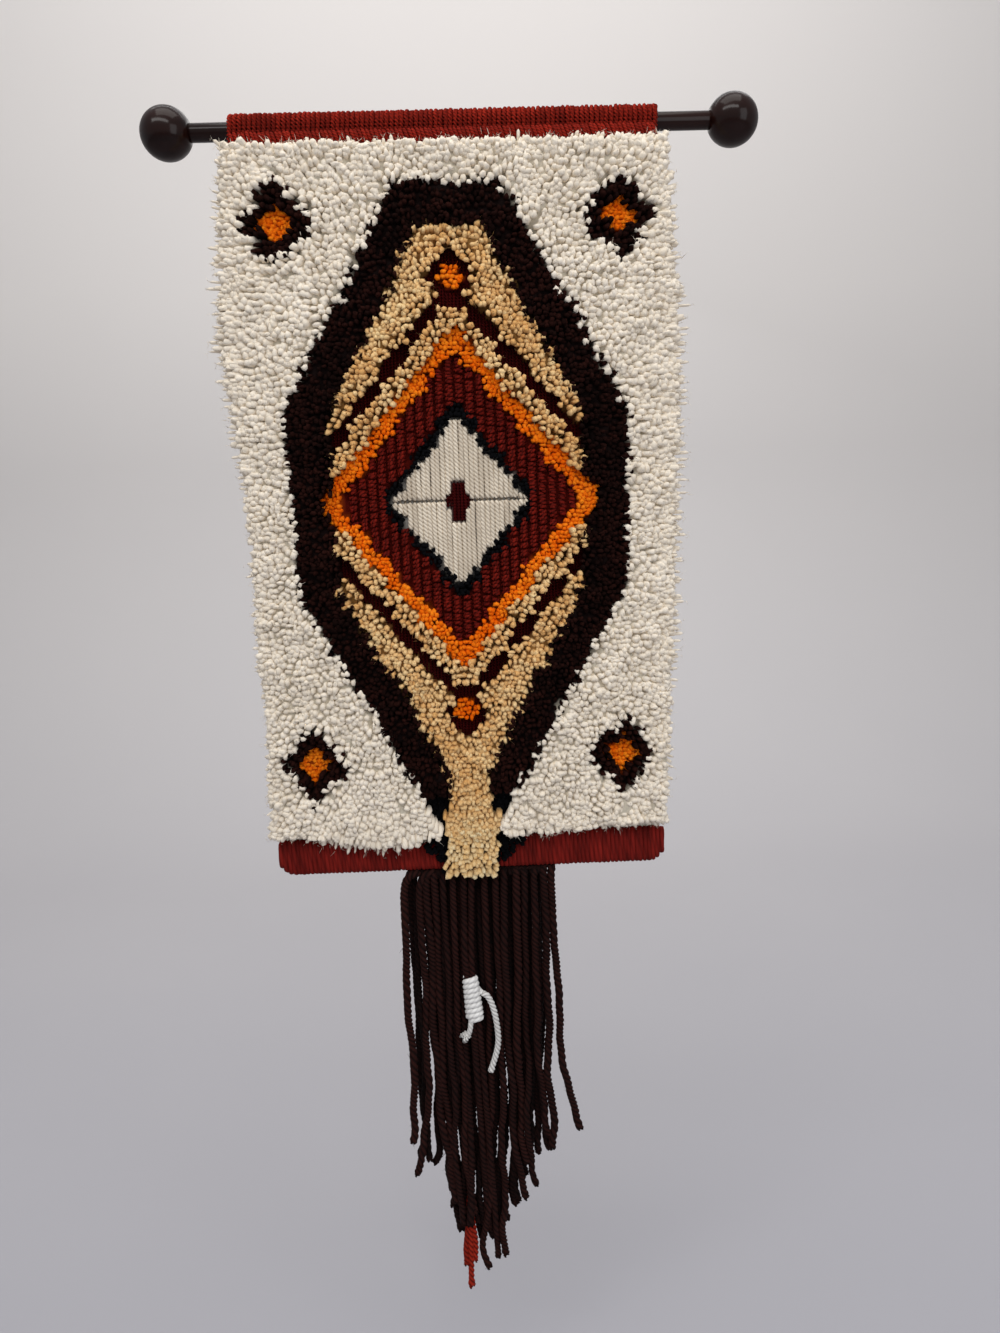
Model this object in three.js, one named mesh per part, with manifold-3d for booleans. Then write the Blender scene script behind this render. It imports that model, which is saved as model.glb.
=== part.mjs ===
// A latch hook wall hanging on its wooden rod.
// Millimetres, +Z up. The picture side faces -Y, and the origin is the middle of the rod's axis.
import * as THREE from "three";
import { mergeVertices } from "three/addons/utils/BufferGeometryUtils.js";
import Module from "manifold-3d";

const wasm = await Module();
wasm.setup();

// ---------------------------------------------------------------- driving dimensions

const GAP = 0.3; // between pieces that touch

const ROD_RADIUS = 6.35; // half-inch dowel
const KNOB_RADIUS = 18.3;
const KNOB_CENTRE = 201; // from the middle of the rod
const KNOB_SOCKET = 14; // depth of the hole that takes the rod's end

const CLOTH_SHIFT = -4.7; // the cloth sits a little left of the rod's middle
const CLOTH_LEAN = THREE.MathUtils.degToRad(1); // its foot swings back under the rod
const CANVAS_WIDTH = 300;
const CANVAS_THICKNESS = 1.2;
const SLEEVE_RADIUS = 6.75; // inside the sleeve, round the rod
const SLEEVE_TIP = 17; // below the axis, where the sleeve is stitched shut
const CANVAS_FRONT = -(SLEEVE_RADIUS + CANVAS_THICKNESS);
const CANVAS_BACK = -SLEEVE_RADIUS;

const PILE_TOP = -19; // the hooked field, on the canvas
const PILE_BOTTOM = -512;
const PILE_TOP_REACH = 6; // the tips lean out past the field's edges
const FOLD_DEPTH = 549; // where the canvas turns up into its hem

const BINDING_YARN = 2.7; // thickness of the wound yarn
const UPPER_BINDING_DROP = 14;
const UPPER_BINDING_LENGTH = 302;
const LOWER_BINDING_TOP = -522;
const LOWER_BINDING_LENGTH = 304.6;
const HEM_THICKNESS = 2.75;
const HEM_TOP = -524;

const TONGUE_TIP = -556; // pile that falls over the lower binding
const TONGUE_RISE = 13;

const STRAND_RADIUS = 2.6;
const FRINGE_LEFT = -62;
const FRINGE_RIGHT = 59;
const HEADER_HEIGHT = 5;
const HEADER_THICKNESS = 7;
const FRONT_LAYER = -1.5; // from the middle of the fringe's header
const BACK_LAYER = 3.8;

const COLOURS = {
  wood: 0x2d1d18,
  cream: 0xe4dcc8,
  rust: 0x9c2c12,
  maroon: 0x6d150c,
  brown: 0x2a1712,
  white: 0xe9e3da,
};

// How far the pile's edge stands out past the canvas, by height.
const EDGE_REACH = [
  { z: -16, left: 8, right: 7 },
  { z: -62, left: 14, right: 12 },
  { z: -136, left: 20, right: 18 },
  { z: -206, left: 15, right: 19 },
  { z: -262, left: 8, right: 17 },
  { z: -350, left: 8, right: 14 },
  { z: -440, left: 5, right: 8 },
  { z: -520, left: 8, right: 5 },
];

// How far the tips of the lowest row hang below the field, across the cloth.
const FOOT_REACH = [
  { x: -150, drop: 6 },
  { x: -66, drop: 18 },
  { x: 40, drop: 12 },
  { x: 100, drop: 8 },
  { x: 150, drop: 6 },
];

// Height of each technique above the canvas.
const RISE = {
  cream: 15,
  brown: 14,
  tan: 13,
  orange: 8,
  loops: 7,
  black: 6,
  satin: 3,
  maroon: 3,
};

// The strands that hang in front, left to right: where each starts and ends across the cloth, where it
// passes halfway down, and how far down it ends.
const FRONT_STRANDS = [
  { root: -60, middle: -61.5, tip: -58.9, end: -786 },
  { root: -48, middle: -47.5, tip: -56.3, end: -816 },
  { root: -42, middle: -41.5, tip: -25.4, end: -855 },
  { root: -36.5, middle: -36, tip: -31, end: -845 },
  { root: -29.6, middle: -28.5, tip: -26.5, end: -864 },
  { root: 3.8, middle: 2.8, tip: -10.6, end: -907 },
  { root: 12.4, middle: 12.2, tip: 8, end: -894 },
  { root: 19.3, middle: 18.6, tip: 25.4, end: -842 },
  { root: 29, middle: 27, tip: 27.5, end: -811 },
  { root: 35.3, middle: 34, tip: 33, end: -831 },
  { root: 43.7, middle: 42.5, tip: 46.6, end: -789 },
  { root: 51, middle: 51.5, tip: 54, end: -797 },
  { root: 57, middle: 60.5, tip: 72.6, end: -781 },
];

// The strands behind them.
const BACK_STRANDS = [
  { root: -56, middle: -55, tip: -53.5, end: -804 },
  { root: -45, middle: -43, tip: -41, end: -812 },
  { root: -34.5, middle: -34, tip: -34.6, end: -838 },
  { root: -28.6, middle: -28.6, tip: -29, end: -876 },
  { root: -22.6, middle: -23.2, tip: -23.2, end: -880 },
  { root: 7, middle: 6, tip: 2, end: -878 },
  { root: 16, middle: 14, tip: 8, end: -868 },
  { root: 24.5, middle: 22, tip: 17, end: -852 },
  { root: 32.5, middle: 31, tip: 23, end: -826 },
  { root: 40, middle: 37, tip: 36, end: -800 },
  { root: 48, middle: 47, tip: 42, end: -792 },
];

// ---------------------------------------------------------------- solids and geometries

// A closed geometry as a solid that can be joined and cut.
function solidOf(geometry) {
  const bare = new THREE.BufferGeometry();
  bare.setAttribute("position", geometry.getAttribute("position"));
  bare.setIndex(geometry.index);
  const merged = mergeVertices(bare, 1e-4);
  const corners = merged.index.array;
  const kept = [];
  for (let i = 0; i < corners.length; i += 3) {
    const [a, b, c] = corners.slice(i, i + 3);
    if (a !== b && b !== c && c !== a) kept.push(a, b, c);
  }
  return new wasm.Manifold(
    new wasm.Mesh({
      numProp: 3,
      vertProperties: merged.attributes.position.array,
      triVerts: new Uint32Array(kept),
    }),
  );
}

// The other way round: a solid's surface as a geometry.
function geometryOf(solid) {
  const surface = solid.getMesh();
  const geometry = new THREE.BufferGeometry();
  geometry.setAttribute("position", new THREE.BufferAttribute(surface.vertProperties, 3));
  geometry.setIndex(new THREE.BufferAttribute(surface.triVerts, 1));
  geometry.computeVertexNormals();
  return geometry;
}

function join(...geometries) {
  const solids = geometries.map(solidOf);
  return geometryOf(solids.reduce((whole, next) => whole.add(next)));
}

function cut(geometry, ...tools) {
  return geometryOf(tools.map(solidOf).reduce((left, tool) => left.subtract(tool), solidOf(geometry)));
}

function overlapOf(geometry, other) {
  return geometryOf(solidOf(geometry).intersect(solidOf(other)));
}

const X = new THREE.Vector3(1, 0, 0);
const Y = new THREE.Vector3(0, 1, 0);
const Z = new THREE.Vector3(0, 0, 1);

// A section drawn in (y, z), drawn out along X.
function alongX(shape, from, to, curveSegments = 16) {
  const geometry = new THREE.ExtrudeGeometry(shape, {
    depth: to - from,
    bevelEnabled: false,
    curveSegments,
  });
  return geometry.applyMatrix4(new THREE.Matrix4().makeBasis(Y, Z, X).setPosition(from, 0, 0));
}

// An outline drawn in (x, z), drawn out from the back to the front.
function alongY(shape, back, front, curveSegments = 6) {
  const geometry = new THREE.ExtrudeGeometry(shape, {
    depth: back - front,
    bevelEnabled: false,
    curveSegments,
  });
  const forward = Y.clone().negate();
  return geometry.applyMatrix4(new THREE.Matrix4().makeBasis(X, Z, forward).setPosition(0, back, 0));
}

function roundedOutline(left, right, bottom, top, bottomRadius, topRadius) {
  const shape = new THREE.Shape();
  shape.moveTo(left + bottomRadius, bottom);
  shape.absarc(right - bottomRadius, bottom + bottomRadius, bottomRadius, -Math.PI / 2, 0);
  shape.absarc(right - topRadius, top - topRadius, topRadius, 0, Math.PI / 2);
  shape.absarc(left + topRadius, top - topRadius, topRadius, Math.PI / 2, Math.PI);
  shape.absarc(left + bottomRadius, bottom + bottomRadius, bottomRadius, Math.PI, 1.5 * Math.PI);
  return shape;
}

// A value read off a short table between its rows, with a smooth turn at each row.
function readTable(rows, key, at, column) {
  const ordered = [...rows].sort((a, b) => a[key] - b[key]);
  const clamped = THREE.MathUtils.clamp(at, ordered[0][key], ordered.at(-1)[key]);
  const next = Math.max(1, ordered.findIndex((row) => row[key] >= clamped));
  const [low, high] = [ordered[next - 1], ordered[next]];
  const passed = THREE.MathUtils.smoothstep(clamped, low[key], high[key]);
  return THREE.MathUtils.lerp(low[column], high[column], passed);
}

// ---------------------------------------------------------------- rod and knobs

function rod() {
  const end = KNOB_CENTRE - KNOB_RADIUS + KNOB_SOCKET - GAP;
  return new THREE.CylinderGeometry(ROD_RADIUS, ROD_RADIUS, 2 * end, 24).rotateZ(Math.PI / 2);
}

// A ball turned about its own Y, with a flat and a blind hole at -Y for the rod.
function knob() {
  const bore = ROD_RADIUS + 0.4;
  const flatRadius = bore + 1.6;
  const flatAngle = Math.asin(flatRadius / KNOB_RADIUS);
  const flatHeight = -KNOB_RADIUS * Math.cos(flatAngle);
  const arcSteps = 12;
  const profile = [
    new THREE.Vector2(0, -KNOB_RADIUS + KNOB_SOCKET),
    new THREE.Vector2(bore, -KNOB_RADIUS + KNOB_SOCKET),
    new THREE.Vector2(bore, flatHeight),
  ];
  for (let i = 0; i <= arcSteps; i += 1) {
    const angle = THREE.MathUtils.lerp(flatAngle, Math.PI, i / arcSteps);
    const radius = i === arcSteps ? 0 : KNOB_RADIUS * Math.sin(angle);
    profile.push(new THREE.Vector2(radius, -KNOB_RADIUS * Math.cos(angle)));
  }
  return geometryOf(solidOf(new THREE.LatheGeometry(profile, 24)));
}

// ---------------------------------------------------------------- the hooked picture

// A diamond medallion in a tall six-sided border, with a small lozenge above and below it, one in each
// corner, and a tongue at the foot.
const FIELD_MIDDLE = -262;
const MEDALLION = { halfWidth: 104, halfHeight: 128 };
const MEDALLION_RINGS = [
  { out: 0.13, technique: "maroon" },
  { out: 0.5, technique: "satin" },
  { out: 0.57, technique: "black" },
  { out: 0.86, technique: "loops" },
  { out: 1, technique: "orange" },
];
const ECHO_LINE = { from: 1.11, to: 1.27 };
const BORDER = { halfWidth: 122, shoulder: 64, end: 243, endHalfWidth: 26, band: 33 };
const BORDER_TOP = { outside: 218, inside: 188 };
const TONGUE_HALF_WIDTH = 21;
const TONGUE_START = -190;
const TONGUE_FULL = -235;
const BLACK_FOOT = -222;
const LOZENGE = { offset: 158, halfWidth: 21, halfHeight: 24, heart: 0.45 };
const CORNER = { x: 117, offset: 195, halfWidth: 27, halfHeight: 29, heart: 0.5 };

function diamond(x, z, { halfWidth, halfHeight }) {
  return Math.abs(x) / halfWidth + Math.abs(z) / halfHeight;
}

function share(from, to, at) {
  return THREE.MathUtils.clamp((at - from) / (to - from), 0, 1);
}

function techniqueAt(x, z) {
  const up = z - FIELD_MIDDLE;
  const away = Math.abs(up);
  const out = diamond(x, up, MEDALLION);
  const ring = MEDALLION_RINGS.find((row) => out <= row.out);
  if (ring) return ring.technique;

  const taper = share(BORDER.shoulder, BORDER.end, away);
  const outside = THREE.MathUtils.lerp(BORDER.halfWidth, BORDER.endHalfWidth, taper);
  const open = share(TONGUE_START, TONGUE_FULL, up);
  const inside = THREE.MathUtils.lerp(outside - BORDER.band, TONGUE_HALF_WIDTH, open);
  if (Math.abs(x) < inside && up < BORDER_TOP.inside) {
    const lozenge = diamond(x, away - LOZENGE.offset, LOZENGE);
    if (lozenge <= 1) return lozenge <= LOZENGE.heart ? "orange" : "maroon";
    return out > ECHO_LINE.from && out < ECHO_LINE.to ? "maroon" : "tan";
  }
  if (Math.abs(x) < outside && up < BORDER_TOP.outside) return up < BLACK_FOOT ? "black" : "brown";

  const corner = diamond(Math.abs(x) - CORNER.x, away - CORNER.offset, CORNER);
  if (corner > 1) return "cream";
  return corner <= CORNER.heart ? "orange" : "brown";
}

// The pile's height, evened out over a few stitches.
function pileHeight(x, z) {
  const around = [-5, 0, 5];
  const heights = around.flatMap((dx) => around.map((dz) => RISE[techniqueAt(x + dx, z + dz)]));
  return heights.reduce((sum, height) => sum + height) / heights.length;
}

// ---------------------------------------------------------------- canvas and pile

// The canvas isn't quite flat: its sides curl back and its middle bows, but not at its two hems.
function canvasWave(x, z) {
  const down = THREE.MathUtils.clamp((z - PILE_TOP) / (PILE_BOTTOM - PILE_TOP), 0, 1);
  const held = Math.sin(Math.PI * down) ** 2;
  const across = x / (CANVAS_WIDTH / 2);
  return held * (3 * across ** 4 - 1.5 * Math.cos(2.2 * across + 1));
}

// Steps from the canvas out to the pile's tips round the field's edge: how much of the pile's height and
// of its outward reach each has.
const EDGE_STEPS = [
  { rise: 0, reach: 0 },
  { rise: 0.35, reach: 0.6 },
  { rise: 0.7, reach: 1 },
  { rise: 0.94, reach: 0.82 },
];

// One closed block: the canvas behind, the pile in front, its edge leaning out past the canvas.
function hookedField() {
  const columns = 25;
  const rows = 35;
  const positions = [];
  const triangles = [];

  function addPoint(column, row, step, depth) {
    const across = column / columns;
    const down = row / rows;
    const x = THREE.MathUtils.lerp(-CANVAS_WIDTH / 2, CANVAS_WIDTH / 2, across);
    const z = THREE.MathUtils.lerp(PILE_TOP, PILE_BOTTOM, down);
    const left = readTable(EDGE_REACH, "z", z, "left") * step.reach;
    const right = readTable(EDGE_REACH, "z", z, "right") * step.reach;
    const foot = readTable(FOOT_REACH, "x", x, "drop") * step.reach;
    const outX = THREE.MathUtils.lerp(x - left * (1 - across) ** 6, x + right, across ** 6);
    const outZ = THREE.MathUtils.lerp(z + PILE_TOP_REACH * step.reach * (1 - down) ** 12, z - foot, down ** 12);
    const height = pileHeight(x, z) * step.rise;
    positions.push(outX, depth + canvasWave(x, z) - height, outZ);
    return positions.length / 3 - 1;
  }

  function addFace(step, depth) {
    const grid = [];
    for (let row = 0; row <= rows; row += 1) {
      const line = [];
      for (let column = 0; column <= columns; column += 1) {
        const inside = row > 0 && row < rows && column > 0 && column < columns;
        line.push(addPoint(column, row, inside && step.rise > 0 ? { ...step, rise: 1 } : step, depth));
      }
      grid.push(line);
    }
    return grid;
  }

  function addQuad(a, b, c, d) {
    triangles.push(a, b, c, a, c, d);
  }

  // The grid places of the field's edge, once round.
  const edge = [];
  for (let column = 0; column < columns; column += 1) edge.push([0, column]);
  for (let row = 0; row < rows; row += 1) edge.push([row, columns]);
  for (let column = columns; column > 0; column -= 1) edge.push([rows, column]);
  for (let row = rows; row > 0; row -= 1) edge.push([row, 0]);

  const front = addFace(EDGE_STEPS.at(-1), CANVAS_FRONT);
  const back = addFace(EDGE_STEPS[0], CANVAS_BACK);
  for (let row = 0; row < rows; row += 1) {
    for (let column = 0; column < columns; column += 1) {
      const next = column + 1;
      addQuad(front[row][column], front[row + 1][column], front[row + 1][next], front[row][next]);
      addQuad(back[row][column], back[row][next], back[row + 1][next], back[row + 1][column]);
    }
  }

  const loops = [
    edge.map(([row, column]) => back[row][column]),
    ...EDGE_STEPS.slice(0, -1).map((step) =>
      edge.map(([row, column]) => addPoint(column, row, step, CANVAS_FRONT)),
    ),
    edge.map(([row, column]) => front[row][column]),
  ];
  for (let level = 0; level + 1 < loops.length; level += 1) {
    edge.forEach((_, i) => {
      const next = (i + 1) % edge.length;
      addQuad(loops[level][i], loops[level + 1][i], loops[level + 1][next], loops[level][next]);
    });
  }

  const geometry = new THREE.BufferGeometry();
  geometry.setAttribute("position", new THREE.Float32BufferAttribute(positions, 3));
  geometry.setIndex(triangles);
  return geometry;
}

// The angle at which the sleeve's back leaves the round of the rod for its stitched tip.
const SLEEVE_BACK_ANGLE = -Math.PI + 2 * Math.atan2(SLEEVE_TIP, -CANVAS_FRONT);

function sleeveOutline(radius) {
  const tip = (SLEEVE_TIP * radius) / -CANVAS_FRONT;
  const shape = new THREE.Shape();
  shape.moveTo(-radius, -tip);
  shape.lineTo(-radius, 0);
  shape.absarc(0, 0, radius, Math.PI, SLEEVE_BACK_ANGLE, true);
  return shape;
}

function sleeve() {
  const half = CANVAS_WIDTH / 2;
  const outside = alongX(sleeveOutline(-CANVAS_FRONT), -half, half, 20);
  const inside = alongX(sleeveOutline(SLEEVE_RADIUS), -half - 1, half + 1, 20);
  return cut(outside, inside);
}

function canvasStrip(bottom, top, back) {
  const half = CANVAS_WIDTH / 2;
  return alongY(roundedOutline(-half, half, bottom, top, 0.5, 0.5), back, CANVAS_FRONT, 1);
}

function hem() {
  const half = CANVAS_WIDTH / 2 - 0.8;
  const outline = roundedOutline(-half, half, -FOLD_DEPTH + 1, HEM_TOP, 9, 4);
  return alongY(outline, CANVAS_FRONT + HEM_THICKNESS, CANVAS_FRONT);
}

// The tongue falls over the lower binding, stepped in like the cartouche that it ends.
function tongue() {
  const shape = new THREE.Shape();
  const steps = [
    { z: PILE_BOTTOM + 8, halfWidth: 42 },
    { z: LOWER_BINDING_TOP - 6, halfWidth: 42 },
    { z: LOWER_BINDING_TOP - 18, halfWidth: 30 },
    { z: LOWER_BINDING_TOP - 24, halfWidth: 23 },
    { z: TONGUE_TIP + 3, halfWidth: 22 },
    { z: TONGUE_TIP, halfWidth: 17 },
  ];
  shape.moveTo(steps[0].halfWidth, steps[0].z);
  steps.slice(1).forEach((step) => shape.lineTo(step.halfWidth, step.z));
  [...steps].reverse().forEach((step) => shape.lineTo(-step.halfWidth, step.z));
  shape.closePath();
  return alongY(shape, CANVAS_FRONT - 2 * GAP - BINDING_YARN - 0.4, CANVAS_FRONT - TONGUE_RISE, 1);
}

function panel() {
  const strip = CANVAS_THICKNESS - 0.1;
  return join(
    hookedField(),
    sleeve(),
    canvasStrip(PILE_TOP - 12, -4, CANVAS_FRONT + strip),
    canvasStrip(HEM_TOP - 12, PILE_BOTTOM + 12, CANVAS_FRONT + strip),
    hem(),
    tongue(),
  );
}

// ---------------------------------------------------------------- bindings

// Yarn overcast round the sleeve: down its front, over the rod and down its back to the stitched tip.
function upperBinding() {
  const inner = -CANVAS_FRONT + GAP;
  const outer = inner + BINDING_YARN;
  const backLength = 14.6;
  const along = new THREE.Vector2(Math.sin(SLEEVE_BACK_ANGLE), -Math.cos(SLEEVE_BACK_ANGLE));
  const turn = new THREE.Vector2(Math.cos(SLEEVE_BACK_ANGLE), Math.sin(SLEEVE_BACK_ANGLE));
  const backEnd = (radius) => turn.clone().multiplyScalar(radius).addScaledVector(along, backLength);
  const section = new THREE.Shape();
  section.moveTo(-outer, -UPPER_BINDING_DROP);
  section.lineTo(-outer, 0);
  section.absarc(0, 0, outer, Math.PI, SLEEVE_BACK_ANGLE, true);
  section.lineTo(backEnd(outer).x, backEnd(outer).y);
  section.lineTo(backEnd(inner).x, backEnd(inner).y);
  section.absarc(0, 0, inner, SLEEVE_BACK_ANGLE, Math.PI, false);
  section.lineTo(-inner, -UPPER_BINDING_DROP);
  section.closePath();
  return alongX(section, -UPPER_BINDING_LENGTH / 2, UPPER_BINDING_LENGTH / 2, 20);
}

// Yarn overcast round the hem: a pocket with rounded ends, open at the top for the canvas.
function lowerBinding() {
  const half = LOWER_BINDING_LENGTH / 2;
  const front = CANVAS_FRONT - GAP - BINDING_YARN;
  const back = CANVAS_FRONT + HEM_THICKNESS + GAP + BINDING_YARN;
  const bottom = -FOLD_DEPTH - BINDING_YARN + 1 - GAP;
  const section = roundedOutline(front, back, bottom, LOWER_BINDING_TOP, 3.6, 1.6);
  const body = overlapOf(
    alongX(section, -half, half, 4),
    alongY(roundedOutline(-half, half, bottom, LOWER_BINDING_TOP, 12, 6), back + 1, front - 1),
  );
  const pocketHalf = CANVAS_WIDTH / 2 + GAP;
  const pocket = roundedOutline(
    -pocketHalf,
    pocketHalf,
    -FOLD_DEPTH + 1 - GAP,
    LOWER_BINDING_TOP + 20,
    8.6,
    2,
  );
  return cut(body, alongY(pocket, CANVAS_FRONT + HEM_THICKNESS + GAP, CANVAS_FRONT - GAP));
}

// ---------------------------------------------------------------- fringe, tie and rust strand

// The middle of the lower binding's under side, once the cloth leans: the fringe hangs from there.
const BINDING_FOOT = new THREE.Vector3(
  CLOTH_SHIFT,
  CANVAS_FRONT + HEM_THICKNESS / 2,
  -FOLD_DEPTH - BINDING_YARN + 1 - GAP,
).applyAxisAngle(X, CLOTH_LEAN);
const FRINGE_Y = BINDING_FOOT.y;
const HEADER_TOP = BINDING_FOOT.z - 2 * GAP;

// A yarn: a round section with few sides drawn along a smooth curve through the points.
function yarn(points, radius, sides, steps) {
  const section = new THREE.Shape();
  for (let i = 0; i < sides; i += 1) {
    const angle = (2 * Math.PI * i) / sides;
    section[i ? "lineTo" : "moveTo"](radius * Math.cos(angle), radius * Math.sin(angle));
  }
  section.closePath();
  return new THREE.ExtrudeGeometry(section, {
    steps,
    bevelEnabled: false,
    extrudePath: new THREE.CatmullRomCurve3(points),
  });
}

function strand({ root, middle, tip, end }, layer) {
  const top = HEADER_TOP - 1;
  const y = FRINGE_Y + layer;
  const down = (share) => THREE.MathUtils.lerp(top, end, share);
  return yarn(
    [
      new THREE.Vector3(root, y, top),
      new THREE.Vector3(THREE.MathUtils.lerp(root, middle, 0.6), y, down(0.22)),
      new THREE.Vector3(middle, y, down(0.5)),
      new THREE.Vector3(THREE.MathUtils.lerp(middle, tip, 0.35), y, down(0.78)),
      new THREE.Vector3(tip, y, end),
    ],
    STRAND_RADIUS,
    6,
    6,
  );
}

// The two strands that the white yarn holds together: they come forward into the winding and part below it.
const BUNDLE_RADIUS = 4.1;
const WRAP_Y = FRINGE_Y - 6.2;
const WRAP_TOP = new THREE.Vector3(-11, WRAP_Y, -638.5);
const WRAP_BOTTOM = new THREE.Vector3(-7.7, WRAP_Y, -681);
const WRAP_RADIUS = 6.9;

function bundleAbove() {
  const root = new THREE.Vector3(-9.5, FRINGE_Y + 1.2, HEADER_TOP - 1);
  const along = WRAP_BOTTOM.clone().sub(WRAP_TOP);
  return yarn(
    [
      root,
      new THREE.Vector3(-10.8, FRINGE_Y - 2, -585),
      WRAP_TOP.clone().addScaledVector(along, -0.6),
      WRAP_TOP.clone().addScaledVector(along, -0.1),
      WRAP_TOP.clone().lerp(WRAP_BOTTOM, 0.5),
      WRAP_BOTTOM.clone().addScaledVector(along, 0.2),
    ],
    BUNDLE_RADIUS,
    8,
    12,
  );
}

function bundleBelow(tip, bend) {
  const start = WRAP_BOTTOM.clone().add(new THREE.Vector3(0.3, 0, -4));
  return yarn([start, bend, tip], STRAND_RADIUS, 6, 8);
}

// One comb: the header hooked in the cloth's edge and every strand that hangs from it.
function fringe() {
  const header = alongX(
    roundedOutline(
      FRINGE_Y - HEADER_THICKNESS / 2,
      FRINGE_Y + HEADER_THICKNESS / 2,
      HEADER_TOP - HEADER_HEIGHT,
      HEADER_TOP,
      2,
      1.5,
    ),
    FRINGE_LEFT,
    FRINGE_RIGHT,
    3,
  );
  return join(
    header,
    ...FRONT_STRANDS.map((row) => strand(row, FRONT_LAYER)),
    ...BACK_STRANDS.map((row) => strand(row, BACK_LAYER)),
    bundleAbove(),
    bundleBelow(new THREE.Vector3(3.9, FRINGE_Y - 1.5, -897), new THREE.Vector3(-1.5, FRINGE_Y - 3, -760)),
    bundleBelow(new THREE.Vector3(-3.5, FRINGE_Y, -872), new THREE.Vector3(-7, FRINGE_Y - 2, -760)),
  );
}

// White yarn wound round the two strands, drawn in a little at both ends, with its short cut end below.
function tieWrap() {
  const along = WRAP_BOTTOM.clone().sub(WRAP_TOP);
  const length = along.length();
  const bore = BUNDLE_RADIUS + 0.8;
  const profile = [
    new THREE.Vector2(bore, 0),
    new THREE.Vector2(WRAP_RADIUS - 0.8, 0),
    new THREE.Vector2(WRAP_RADIUS, 1.6),
    new THREE.Vector2(WRAP_RADIUS, length - 1.6),
    new THREE.Vector2(WRAP_RADIUS - 0.8, length),
    new THREE.Vector2(bore, length),
    new THREE.Vector2(bore, 0),
  ];
  const winding = new THREE.LatheGeometry(profile, 20);
  const turn = new THREE.Quaternion().setFromUnitVectors(Y, along.clone().negate().normalize());
  winding.applyQuaternion(turn);
  winding.translate(WRAP_BOTTOM.x, WRAP_BOTTOM.y, WRAP_BOTTOM.z);
  const shortEnd = yarn(
    [
      new THREE.Vector3(WRAP_BOTTOM.x - 6.6, WRAP_Y - 1.8, WRAP_BOTTOM.z + 4),
      new THREE.Vector3(WRAP_BOTTOM.x - 6.2, WRAP_Y - 2, WRAP_BOTTOM.z - 5),
      new THREE.Vector3(WRAP_BOTTOM.x - 8.4, WRAP_Y - 2.2, WRAP_BOTTOM.z - 11),
      new THREE.Vector3(WRAP_BOTTOM.x - 12.2, WRAP_Y - 2.4, WRAP_BOTTOM.z - 14.4),
    ],
    1.5,
    8,
    4,
  );
  return join(winding, shortEnd);
}

// The long loose end leaves the winding behind its right side, arches over and hangs down.
const TIE_END_RADIUS = 2.4;
const TIE_END_ROUTE = [
  { x: -1.3, forward: 0.9, z: -655.4 },
  { x: 1.8, forward: 1.1, z: -656.8 },
  { x: 4.5, forward: 1.4, z: -660.8 },
  { x: 6.7, forward: 1.7, z: -666.6 },
  { x: 8.3, forward: 2, z: -673.6 },
  { x: 9.4, forward: 2.2, z: -681 },
  { x: 10.1, forward: 2.2, z: -688.6 },
  { x: 10.3, forward: 2, z: -696 },
  { x: 9.3, forward: 1.8, z: -703.4 },
  { x: 7.4, forward: 1.6, z: -710.6 },
  { x: 5.2, forward: 1.4, z: -717.4 },
  { x: 3.2, forward: 1.2, z: -724 },
];

function tieEnd() {
  const points = TIE_END_ROUTE.map(({ x, forward, z }) => new THREE.Vector3(x, WRAP_Y - forward, z));
  return yarn(points, TIE_END_RADIUS, 8, 12);
}

// The rust strand hangs behind the others and comes forward at its end.
const RUST_RADIUS = 2.3;
const RUST_ROUTE = [
  { x: -16.7, y: 3.4, z: -557 },
  { x: -16.6, y: 3.8, z: -580 },
  { x: -16.5, y: 3.9, z: -605 },
  { x: -16.5, y: 4, z: -630 },
  { x: -16.5, y: 4, z: -655 },
  { x: -16.5, y: 4, z: -680 },
  { x: -16.6, y: 4, z: -705 },
  { x: -16.7, y: 3.9, z: -730 },
  { x: -16.9, y: 3.6, z: -755 },
  { x: -17.1, y: 3, z: -780 },
  { x: -17.4, y: 2, z: -805 },
  { x: -17.8, y: 0.6, z: -830 },
  { x: -18.4, y: -1, z: -852 },
  { x: -18.9, y: -1.8, z: -876 },
  { x: -19.4, y: -2, z: -900 },
  { x: -19.9, y: -2, z: -923 },
];

function rustStrand() {
  const points = RUST_ROUTE.map(({ x, y, z }) => new THREE.Vector3(x, FRINGE_Y + y, z));
  return yarn(points, RUST_RADIUS, 8, 30);
}

// ---------------------------------------------------------------- the hanging

function mesh(name, geometry, color, roughness) {
  const made = new THREE.Mesh(
    geometry,
    new THREE.MeshStandardMaterial({ color, roughness, metalness: 0 }),
  );
  made.name = name;
  return made;
}

const hanging = new THREE.Group();

hanging.add(mesh("rod", rod(), COLOURS.wood, 0.45));
[
  { name: "knob_left", side: -1 },
  { name: "knob_right", side: 1 },
].forEach(({ name, side }) => {
  const ball = mesh(name, knob(), COLOURS.wood, 0.3);
  ball.position.x = side * KNOB_CENTRE;
  ball.rotation.z = (-side * Math.PI) / 2;
  hanging.add(ball);
});

const cloth = new THREE.Group();
cloth.position.x = CLOTH_SHIFT;
cloth.rotation.x = CLOTH_LEAN;
cloth.add(mesh("panel", panel(), COLOURS.cream, 0.95));
cloth.add(mesh("upper_binding", upperBinding(), COLOURS.rust, 0.9));
cloth.add(mesh("lower_binding", lowerBinding(), COLOURS.maroon, 0.9));
hanging.add(cloth);

hanging.add(mesh("fringe", fringe(), COLOURS.brown, 0.9));
hanging.add(mesh("tie_wrap", tieWrap(), COLOURS.white, 0.9));
hanging.add(mesh("tie_end", tieEnd(), COLOURS.white, 0.9));
hanging.add(mesh("rust_strand", rustStrand(), COLOURS.rust, 0.9));

export default hanging;
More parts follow.
